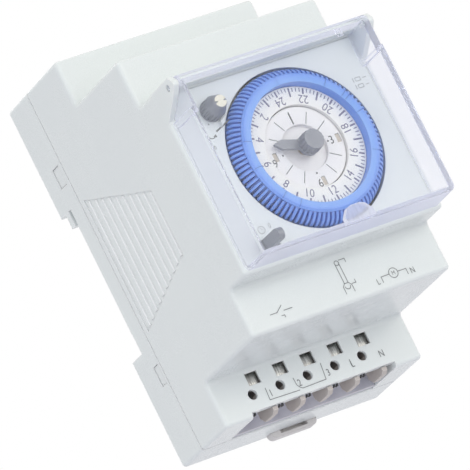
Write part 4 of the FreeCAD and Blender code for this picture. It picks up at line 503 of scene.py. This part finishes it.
def clearMoulding(look):
    finish = Finish("clearMoulding")
    normal = finish.softNormal(look["edgeRound"])
    edge = finish.edge(normal, look["edgeReach"])
    haze = finish.noise(look["haze"], look["hazeDetail"]).between(*look["hazeReach"])
    fine = finish.noise(look["fine"], look["fineDetail"], look["fineStretch"], look["fineRough"])
    grazing = finish.node("LayerWeight", output="Facing").between(*look["grazing"])
    tab = (finish.along(1) / mm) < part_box("clear_cover")[0].y / mm + look["tabReach"]
    # lamp rays and soft light pass straight through
    passing = finish.node("LightPath", output="Is Shadow Ray").math(
        "MAXIMUM", finish.node("LightPath", output="Is Diffuse Ray"))
    clear = finish.node("BsdfTransparent", {}, {"Color": asColour(look["lampTint"])})
    shell = finish.node("BsdfPrincipled", {}, {
        "Base Color": asColour(look["skin"]), "Transmission Weight": 1.0, "IOR": look["ior"],
        "Roughness": look["roughness"] + haze * look["hazeShine"] + fine * look["fineShine"],
        "Coat Weight": look["coat"], "Coat IOR": look["coatIor"],
        "Coat Roughness": look["coatRoughness"],
        "Normal": finish.bump(haze + fine * look["fineHeight"], look["depth"])})
    lit = finish.node("BsdfDiffuse", {}, {"Color": asColour(look["milk"])})
    glow = finish.node("BsdfTranslucent", {}, {"Color": asColour(look["milk"])})
    milk = finish.node("MixShader", {}, [look["milkGlow"], lit, glow])
    share = (look["milkBase"] + grazing * look["milkGrazing"] + edge * look["milkEdge"]
             + haze * look["milkHaze"]
             + tab * (look["milkTab"] + (fine - 0.5) * look["tabMottle"]))
    body = finish.node("MixShader", {}, [share.math("MINIMUM", 1.0), shell, milk])
    whole = finish.node("MixShader", {}, [passing, body, clear])
    finish.node("OutputMaterial", {}, {"Surface": whole})
    return finish.material


dress(["clear_cover"], clearMoulding(coverLook))
print("dial and cover are dressed")


def addObject(name, data):
    made = bpy.data.objects.new(name, data)
    bpy.context.scene.collection.objects.link(made)
    return made


def makePiece(name, shape, material):
    # the bmesh is used up
    mesh = bpy.data.meshes.new(name)
    shape.to_mesh(mesh)
    shape.free()
    mesh.materials.append(material)
    return addObject(name, mesh)


def onCircle(centre, radius, angle):
    # angles in degrees, clockwise from the top
    turn = math.radians(angle)
    return (centre[0] + radius * math.sin(turn), centre[1] + radius * math.cos(turn))


def moved(points, spot):
    return [(x + spot[0], z + spot[1]) for x, z in points]


# flat marks on one face: drawn in x and z, in millimetres, a hair in front of it
class Stencil:
    letterSteps = 4
    mitreLimit = 0.5

    def __init__(self, name, face, ink, body, lift=0.012):
        self.name = name
        self.depth = face - lift * mm
        self.ink = ink
        self.body = body
        self.marks = bmesh.new()

    def patch(self, corners):
        made = [self.marks.verts.new((x * mm, self.depth, z * mm)) for x, z in corners]
        self.marks.faces.new(made)

    def stroke(self, points, width):
        # a ribbon with square ends, mitred at its corners
        path = [Vector(point) for point in points]
        left, right = [], []
        for index, here in enumerate(path):
            before = (here - path[index - 1]).normalized() if index else None
            after = (path[index + 1] - here).normalized() if index < len(path) - 1 else None
            heading = ((before or after) + (after or before)).normalized()
            side = Vector((-heading.y, heading.x))
            nextSide = Vector((-(after or before).y, (after or before).x))
            reach = width / 2 / max(self.mitreLimit, side.dot(nextSide))
            left.append(here + side * reach)
            right.append(here - side * reach)
        for index in range(len(path) - 1):
            self.patch([right[index], right[index + 1], left[index + 1], left[index]])

    def arc(self, centre, radius, start, end, width, steps=24):
        angles = [start + (end - start) * step / steps for step in range(steps + 1)]
        self.stroke([onCircle(centre, radius, angle) for angle in angles], width)

    def spoke(self, centre, angle, inner, outer, width):
        heading = Vector((math.sin(math.radians(angle)), math.cos(math.radians(angle))))
        self.stroke([Vector(centre) + heading * inner, Vector(centre) + heading * outer], width)

    def dot(self, centre, radius, sides=16):
        turns = [2 * math.pi * side / sides for side in range(sides)]
        self.patch([(centre[0] + radius * math.cos(turn), centre[1] + radius * math.sin(turn))
                    for turn in turns])

    def words(self, text, centre, height, turn=0.0, narrow=1.0):
        # turn is in degrees, anticlockwise as seen from the front
        letters = bpy.data.curves.new(self.name, "FONT")
        letters.body = text
        letters.resolution_u = self.letterSteps
        carrier = bpy.data.objects.new(self.name, letters)
        flat = bpy.data.meshes.new_from_object(carrier)
        low = Vector(map(min, *[point.co for point in flat.vertices]))
        high = Vector(map(max, *[point.co for point in flat.vertices]))
        scale = height * mm / (high.y - low.y)
        fit = (Matrix.Translation((centre[0] * mm, self.depth, centre[1] * mm))
               @ Matrix.Rotation(math.pi / 2, 4, "X")
               @ Matrix.Rotation(math.radians(turn), 4, "Z")
               @ Matrix.Diagonal((scale * narrow, scale, 1, 1))
               @ Matrix.Translation(-(low + high) / 2))
        flat.transform(fit)
        self.marks.from_mesh(flat)
        bpy.data.objects.remove(carrier)
        bpy.data.curves.remove(letters)
        bpy.data.meshes.remove(flat)

    def finish(self):
        for corner in self.marks.verts:
            corner.co.y = self.depth
        bmesh.ops.recalc_face_normals(self.marks, faces=self.marks.faces)
        for face in self.marks.faces:
            if face.normal.y > 0:
                face.normal_flip()
        piece = makePiece(self.name, self.marks, self.ink)
        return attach(piece, self.body)


inkLooks = {
    "violetInk": {"colour": (0.15, 0.14, 0.23), "worn": (0.24, 0.23, 0.33), "grain": 0.12},
    "blackInk": {"colour": (0.035, 0.035, 0.04), "worn": (0.12, 0.12, 0.13), "grain": 0.12},
    "greyInk": {"colour": (0.13, 0.135, 0.14), "worn": (0.24, 0.245, 0.25), "grain": 0.15},
    "paleInk": {"colour": (0.30, 0.31, 0.33), "worn": (0.42, 0.43, 0.45), "grain": 0.15},
    "navyInk": {"colour": (0.05, 0.10, 0.40), "worn": (0.08, 0.16, 0.52), "grain": 0.15},
    "beigeInk": {"colour": (0.57, 0.51, 0.44), "worn": (0.67, 0.61, 0.55), "grain": 0.2},
}
inks = {name: printInk(name, look) for name, look in inkLooks.items()}
dialCentre = (dialX, 0.0)

scalePrint = {
    "firstAngle": -5.5, "hours": 24, "hourParts": 4, "numberRadius": 11.2, "numberHeight": 1.95,
    "narrow": 0.9, "outer": 13.85, "partInner": 12.95, "evenInner": 12.45, "oddInner": 11.75,
    "fine": 0.21, "bold": 0.40,
}


def hourMarks(look):
    sheet = Stencil("hour_marks", dialLow.y, inks["violetInk"], "dial")
    marks = look["hours"] * look["hourParts"]
    # the hours fall clockwise, because the dial turns clockwise past a fixed pointer
    for mark in range(marks):
        hour = look["hours"] - mark / look["hourParts"]
        angle = look["firstAngle"] + mark * 360 / marks
        inner, width = look["partInner"], look["fine"]
        if hour % 1 == 0:
            inner, width = look["oddInner"], look["bold"]
        if hour % 2 == 0:
            inner = look["evenInner"]
            spot = onCircle(dialCentre, look["numberRadius"], angle)
            sheet.words("%d" % hour, spot, look["numberHeight"], 180 - angle, look["narrow"])
        sheet.spoke(dialCentre, angle, inner, look["outer"], width)
    return sheet.finish()


hourMarks(scalePrint)

facePrint = {
    "hours": 12, "inner": 5.75, "outer": 8.7, "fine": 0.19, "bold": 0.34, "digitHeight": 1.9,
    "narrow": 0.9, "dotSize": 0.22, "windowSize": (0.95, 2.0), "frame": 0.14, "faintDigit": "9",
    "quarters": {
        "3": {"digit": (6.95, -0.17), "window": (8.75, -0.28), "dot": (5.99, -0.23)},
        "6": {"digit": (-0.54, -8.6), "window": (0.57, -8.42), "dot": (-0.32, -6.26)},
        "9": {"digit": (-8.8, -1.3), "window": (-8.06, -0.1), "dot": (-6.15, -0.16)}},
}


def faceMarks(look):
    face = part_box("face_disc")[0].y
    fine = Stencil("face_lines", face, inks["greyInk"], "case")
    bold = Stencil("face_digits", face, inks["blackInk"], "case")
    window = Stencil("face_windows", face, inks["beigeInk"], "case")
    bold.spoke(dialCentre, 0, look["inner"], look["outer"], look["bold"])
    for hour in range(look["hours"]):
        # the quarters have digits instead
        if hour and str(hour) not in look["quarters"]:
            angle = hour * 360 / look["hours"]
            fine.spoke(dialCentre, angle, look["inner"], look["outer"], look["fine"])
    wide, tall = look["windowSize"]
    for digit, places in look["quarters"].items():
        sheet = fine if digit == look["faintDigit"] else bold
        spots = {name: (dialX + x, z) for name, (x, z) in places.items()}
        sheet.words(digit, spots["digit"], look["digitHeight"], 0, look["narrow"])
        bold.dot(spots["dot"], look["dotSize"])
        x, z = spots["window"]
        left, right, foot, top = x - wide / 2, x + wide / 2, z - tall / 2, z + tall / 2
        window.patch([(left, foot), (right, foot), (right, top), (left, top)])
        fine.stroke([(left, top), (right, top), (right, foot)], look["frame"])
    return [fine.finish(), bold.finish(), window.finish()]


faceMarks(facePrint)

# fine joint lines across the smooth band of the blue ring
bandLines = {"angles": [41, 58.6, 63, 78, 114, 218, 233, 263.6, 287, 356.3], "inner": 14.4,
             "outer": 16.4, "width": 0.14}


def bandMarks(look):
    sheet = Stencil("band_lines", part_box("dial_carrier")[0].y, inks["navyInk"], "dial")
    for angle in look["angles"]:
        sheet.spoke(dialCentre, angle, look["inner"], look["outer"], look["width"])
    return sheet.finish()


bandMarks(bandLines)
print("dial print is on")

# marks on the panel behind the cover, whose face lies behind the tip of its moulded pointer
panelPrint = {
    "pointerHeight": 1.0, "pointerShade": [(-17.35, 9.65), (-13.1, 11.25)], "pointerShadeWidth": 0.36,
    "turnSign": [(-19.75, 9.15), (-19.55, 8.65), (-19.1, 8.4), (-18.6, 8.4), (-18.25, 8.6)],
    "turnLine": 0.2, "turnHead": [(-18.65, 8.75), (-17.75, 8.35), (-17.85, 9.15)],
    "offSpot": (-19.4, 6.35), "offHeight": 0.9, "dot": (-18.3, 11.7), "dotSize": 0.16,
    "clock": (-18.3, -14.3), "clockRadius": 0.85, "clockHands": [(0, 0.55), (0, 0), (0.4, 0)],
    "zeroSpot": (-16.0, -13.9), "zeroHeight": 1.2, "narrow": 0.8, "line": 0.16, "thin": 0.14,
    "pinSpots": [(21.0, 10.9), (21.0, 9.2)], "pinWall": [(-0.6, -0.55), (-0.6, 0.55)],
    "pinBox": [(0, -0.4), (1.3, -0.4), (1.3, 0.4), (0, 0.4), (0, -0.4)],
    "pinTravel": [(1.9, 0), (2.9, 0)],
}


def panelMarks(look):
    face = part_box("front_panel")[0].y + look["pointerHeight"] * mm
    dark = Stencil("panel_lines_and_shade", face, inks["greyInk"], "case")
    pale = Stencil("panel_signs", face, inks["paleInk"], "case")
    # painted shade: this dark stroke stands for the shaded lower side of the moulded pointer
    dark.stroke(look["pointerShade"], look["pointerShadeWidth"])
    dark.stroke(look["turnSign"], look["turnLine"])
    dark.patch(look["turnHead"])
    dark.words("0", look["offSpot"], look["offHeight"], 0, look["narrow"])
    dark.dot(look["dot"], look["dotSize"])
    pale.arc(look["clock"], look["clockRadius"], 0, 360, look["line"])
    pale.stroke(moved(look["clockHands"], look["clock"]), look["thin"])
    pale.words("0", look["zeroSpot"], look["zeroHeight"], 0, look["narrow"])
    for spot in look["pinSpots"]:
        # the ring's wall, a segment beside it and the way it moves
        pale.stroke(moved(look["pinWall"], spot), look["line"])
        pale.stroke(moved(look["pinBox"], spot), look["thin"])
        pale.stroke(moved(look["pinTravel"], spot), look["thin"])
    return [dark.finish(), pale.finish()]


panelMarks(panelPrint)

# the step below the dial and the terminal face, by their distances in front of the origin
stepPrint = {
    "shoulder": 44.2, "terminal": 18.4, "line": 0.16, "narrow": 0.8, "labelHeight": 1.6,
    "labels": {"1": (-12.9, -41.0), "2": (-5.1, -41.0), "3": (2.8, -41.0), "L": (9.5, -41.0),
               "N": (17.5, -41.0)},
    "terminalLines": [
        [(-13.7, -39.5), (-13.9, -42.4), (-5.8, -42.6)],
        [(-6.1, -39.5), (-6.0, -41.3), (-5.5, -42.0), (-4.9, -42.4), (1.5, -42.3), (2.0, -38.4)],
        [(9.2, -39.8), (9.1, -41.5)]],
    "strippedWire": [
        [(0.15, -24.9), (0.15, -29.5)],
        [(1.15, -24.9), (1.15, -29.5)],
        [(-0.5, -31.9), (-0.5, -30.2), (0.1, -29.5), (1.2, -29.5), (1.8, -30.2), (1.8, -31.9)],
        [(1.4, -24.1), (3.0, -24.1), (3.0, -25.0)],
        [(1.9, -30.0), (3.0, -30.0), (3.0, -29.2)]],
    "wireArcs": [((0.65, -24.6), 0.55, 0, 360), ((0.65, -30.2), 0.7, 90, 270)],
    "switchContact": [
        [(-20.6, -30.6), (-18.7, -30.6), (-16.9, -29.3)],
        [(-16.9, -30.6), (-14.6, -30.6)],
        [(-18.0, -31.6), (-17.2, -31.6), (-17.2, -32.2)]],
    "motor": (12.8, -30.8), "motorRadius": 1.15, "motorHeight": 0.9, "motorNarrow": 0.9,
    "motorLeads": [
        [(11.65, -30.8), (9.4, -30.8), (9.4, -32.2)],
        [(13.95, -30.8), (16.2, -30.8), (16.2, -32.2)]],
    "leadHeight": 1.35, "leadNames": {"L": (8.3, -31.6), "N": (17.6, -31.6)},
}


def stepMarks(look):
    shoulder = Stencil("step_signs", -look["shoulder"] * mm, inks["greyInk"], "case")
    terminal = Stencil("terminal_signs", -look["terminal"] * mm, inks["greyInk"], "case")
    for points in look["strippedWire"] + look["switchContact"] + look["motorLeads"]:
        shoulder.stroke(points, look["line"])
    for centre, radius, start, end in look["wireArcs"]:
        shoulder.arc(centre, radius, start, end, look["line"])
    # the motor stands across the supply
    shoulder.arc(look["motor"], look["motorRadius"], 0, 360, look["line"])
    shoulder.words("M", look["motor"], look["motorHeight"], 0, look["motorNarrow"])
    for name, spot in look["leadNames"].items():
        shoulder.words(name, spot, look["leadHeight"], 0, look["narrow"])
    for label, spot in look["labels"].items():
        terminal.words(label, spot, look["labelHeight"], 0, look["narrow"])
    for points in look["terminalLines"]:
        terminal.stroke(points, look["line"])
    return [shoulder.finish(), terminal.finish()]


stepMarks(stepPrint)
print("signs are printed on panel, step and terminals")


def pushOut(shape, face, axis, distance):
    # extrudes one face and shifts its copy along an axis
    made = bmesh.ops.extrude_face_region(shape, geom=[face])["geom"]
    for item in made:
        if isinstance(item, bmesh.types.BMVert):
            item.co[axis] += distance


def roundEdges(shape, edges, radius, segments=2):
    bmesh.ops.bevel(shape, geom=edges, offset=radius * mm, segments=segments, profile=0.5,
                    affect="EDGES")


# pale cap on the override knob, with a notch at each end of its slot
capLook = {"radius": 1.42, "thickness": 0.22, "notchHalf": 0.22, "notchInner": 0.75,
           "bevel": 0.07, "bevelSteps": 3, "sides": 48, "touching": 1e-6}


def knobCap(look):
    low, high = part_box("override_knob")
    centre = Vector(((low.x + high.x) / 2, low.y, (low.z + high.z) / 2))
    cap = bmesh.new()
    base = []
    for side in range(look["sides"]):
        turn = 2 * math.pi * (side + 0.5) / look["sides"]
        x, z = look["radius"] * math.cos(turn), look["radius"] * math.sin(turn)
        if abs(z) < look["notchHalf"]:
            x = math.copysign(look["notchInner"], x)
        base.append(cap.verts.new((centre.x + x * mm, centre.y, centre.z + z * mm)))
    pushOut(cap, cap.faces.new(base), 1, -look["thickness"] * mm)
    # only the edges round the front face, which stand clear of the knob
    rim = [edge for edge in cap.edges
           if all(abs(end.co.y - centre.y) > look["touching"] for end in edge.verts)]
    roundEdges(cap, rim, look["bevel"], look["bevelSteps"])
    bmesh.ops.recalc_face_normals(cap, faces=cap.faces)
    piece = makePiece("knob_cap", cap, bpy.data.materials["creamPlastic"])
    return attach(piece, "override")


knobCap(capLook)
print("the override knob has its cap")

# raised ridges round the setting knob, between its flutes
ridgeLook = {
    "count": 16, "handAngle": -73.8, "back": 54.6, "front": 56.8, "radiusBack": 2.49,
    "radiusFront": 2.37, "sunk": 0.1, "proud": 0.15, "width": 0.3, "taper": 0.6, "bevel": 0.05,
}


def knobRidges(look):
    ridges = bmesh.new()
    rings = ((look["back"], look["radiusBack"]), (look["front"], look["radiusFront"]))
    for number in range(look["count"]):
        turn = math.radians(look["handAngle"] + (number + 0.5) * 360 / look["count"])
        outward = Vector((math.sin(turn), 0, math.cos(turn)))
        across = Vector((math.cos(turn), 0, -math.sin(turn))) * look["width"] / 2
        ends = []
        for depth, radius in rings:
            middle = Vector((dialX, -depth, 0))
            foot = middle + outward * (radius - look["sunk"])
            crown = middle + outward * (radius + look["proud"])
            corners = (foot - across, foot + across, crown + across * look["taper"],
                       crown - across * look["taper"])
            ends.append([ridges.verts.new(corner * mm) for corner in corners])
        back, front = ends
        ridges.faces.new(back)
        ridges.faces.new(front)
        for side in range(4):
            after = (side + 1) % 4
            ridges.faces.new([back[side], back[after], front[after], front[side]])
    bmesh.ops.recalc_face_normals(ridges, faces=ridges.faces)
    roundEdges(ridges, ridges.edges[:], look["bevel"])
    piece = makePiece("knob_ridges", ridges, bpy.data.materials["handPlastic"])
    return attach(piece, "minute")


knobRidges(ridgeLook)
print("the setting knob is ridged")


def latchCoil():
    mesh = nodes["latch_spring"].data.copy()
    mesh.name = "latch_coil"
    mesh.materials.clear()
    mesh.materials.append(bpy.data.materials["springMetal"])
    piece = addObject("latch_coil", mesh)
    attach(piece, "case")
    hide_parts("latch_spring")
    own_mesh(piece)
    return piece


latchCoil()
print("the latch spring is copied into its own mesh")

# painted shade: dark prongs at the front edge of the wire entry, two at each terminal, stand where
# the shaded gaps open into the housing
gapShadeLook = {
    "fromClamp": 0.35, "fromFront": 0.3, "fromFoot": 1.6, "prong": 0.42, "spacing": 0.8,
    "bevel": 0.06,
    "outline": [(0.0, 0.9), (0.4, 0.9), (0.4, -0.2), (0.9, -0.3), (0.9, -0.6), (0.2, -0.6),
                (0.0, -0.4)],
}


def entryGapShade(look):
    # the outline is depth behind the front and height above the lip, drawn once for each prong
    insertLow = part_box("terminal_insert")[0]
    front = insertLow.y + look["fromFront"] * mm
    lip = insertLow.z + look["fromFoot"] * mm
    prongs = bmesh.new()
    for number in terminalNumbers:
        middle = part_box("terminal_clamp_%d" % number)[0].x + look["fromClamp"] * mm
        for side in (-0.5, 0.5):
            left = middle + (side * look["spacing"] - look["prong"] / 2) * mm
            cheek = prongs.faces.new([
                prongs.verts.new((left, front + depth * mm, lip + height * mm))
                for depth, height in look["outline"]])
            pushOut(prongs, cheek, 0, look["prong"] * mm)
    bmesh.ops.recalc_face_normals(prongs, faces=prongs.faces)
    roundEdges(prongs, prongs.edges[:], look["bevel"])
    piece = makePiece("entry_gap_shade", prongs, bpy.data.materials["blackPlastic"])
    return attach(piece, "case")


entryGapShade(gapShadeLook)
print("the entry has its catches")

# stage: pale floor seen from above, white surroundings, soft lamps
stageLook = {
    "floorSize": 6.0, "floorDrop": 4.6, "floorColour": (0.80, 0.80, 0.80), "mottle": 60.0,
    "mottleDetail": 3.0, "mottleShade": 0.98, "floorRoughness": 0.7, "floorShine": 0.2,
    "ambient": 0.85, "ambientBelow": (0.80, 0.805, 0.87), "ambientAbove": (1.0, 1.0, 0.985),
    "ambientReach": (-0.8, 0.8),
}
white = (1.0, 1.0, 1.0)


def makeFloor(look):
    half = look["floorSize"] / 2
    # just clear of the latch when it is pulled right out
    height = cadBox[0].z - look["floorDrop"] * mm
    corners = [(-half, -half, height), (half, -half, height), (half, half, height),
               (-half, half, height)]
    mesh = bpy.data.meshes.new("floor")
    mesh.from_pydata(corners, [], [(0, 1, 2, 3)])
    floor = addObject("floor", mesh)
    finish = Finish("floorPaint")
    shade = [share * look["mottleShade"] for share in look["floorColour"]]
    mottle = finish.noise(look["mottle"], look["mottleDetail"])
    under = finish.node("NewGeometry", output="Backfacing")
    paint = finish.node("BsdfPrincipled", {}, {
        "Base Color": finish.mix(mottle, look["floorColour"], shade),
        "Roughness": look["floorRoughness"], "Specular IOR Level": look["floorShine"]})
    clear = finish.node("BsdfTransparent", {}, {"Color": asColour(white)})
    whole = finish.node("MixShader", {}, [under, paint, clear])
    finish.node("OutputMaterial", {}, {"Surface": whole})
    mesh.materials.append(finish.material)
    # only the camera meets the floor, so it takes the shadow and leaves the underside lit
    floor.visible_diffuse = False
    floor.visible_glossy = False
    floor.visible_transmission = False
    floor.visible_shadow = False


def makeSurroundings(look):
    world = bpy.data.worlds.new("studio")
    bpy.context.scene.world = world
    world.use_nodes = True
    finish = Finish("studio", world.node_tree)
    way = finish.node("TexCoord", output="Generated")
    height = finish.node("SeparateXYZ", sockets=[way], output=2)
    soft = finish.node("Background", {}, {
        "Color": finish.mix(
            height.between(*look["ambientReach"]), look["ambientBelow"], look["ambientAbove"]),
        "Strength": look["ambient"]})
    plain = finish.node("Background", {}, {"Color": asColour(white), "Strength": 1.0})
    seen = finish.node("LightPath", output="Is Camera Ray")
    for kind in ("Is Glossy Ray", "Is Transmission Ray"):
        seen = seen.math("MAXIMUM", finish.node("LightPath", output=kind))
    finish.node("OutputWorld", {}, {"Surface": finish.node("MixShader", {}, [seen, soft, plain])})


lampPlan = {
    "key": {"from": (0.35, -1.25, 0.08), "size": 0.9, "power": 3.5, "colour": (1.0, 1.0, 0.90)},
    "left": {"from": (-1.0, -0.95, 0.1), "size": 0.9, "power": 2.45,
             "colour": (0.87, 0.925, 1.0)},
    "back": {"from": (0.3, 1.1, 0.8), "size": 0.9, "power": 1.0, "colour": (1.0, 1.0, 1.0)},
}


def makeLamps(plan):
    middle = (cadBox[0] + cadBox[1]) / 2
    for name, lamp in plan.items():
        data = bpy.data.lights.new(name, "AREA")
        data.shape = "DISK"
        data.size = lamp["size"]
        data.energy = lamp["power"]
        data.color = lamp["colour"]
        bulb = addObject(name, data)
        bulb.location = Vector(lamp["from"])
        bulb.rotation_mode = "QUATERNION"
        bulb.rotation_quaternion = (middle - bulb.location).to_track_quat("-Z", "Y")


makeFloor(stageLook)
makeSurroundings(stageLook)
makeLamps(lampPlan)

cameraPlace = {
    "at": (-0.77249, -1.22402, -0.31152), "heading": (0.52606, 0.82418, 0.20975),
    "up": (0.27563, -0.39855, 0.87475), "lens": 508.2, "sensor": 36.0, "near": 0.05, "far": 20.0,
}


def makeCamera(look):
    data = bpy.data.cameras.new("camera")
    data.lens = look["lens"]
    data.sensor_width = look["sensor"]
    data.clip_start = look["near"]
    data.clip_end = look["far"]
    camera = addObject("camera", data)
    back = -Vector(look["heading"]).normalized()
    right = Vector(look["up"]).cross(back).normalized()
    up = back.cross(right)
    turn = Matrix((right, up, back)).transposed().to_4x4()
    camera.matrix_world = Matrix.Translation(look["at"]) @ turn
    bpy.context.scene.camera = camera


makeCamera(cameraPlace)
bpy.context.scene.view_settings.view_transform = "Standard"
print("stage, lamps and camera are set")
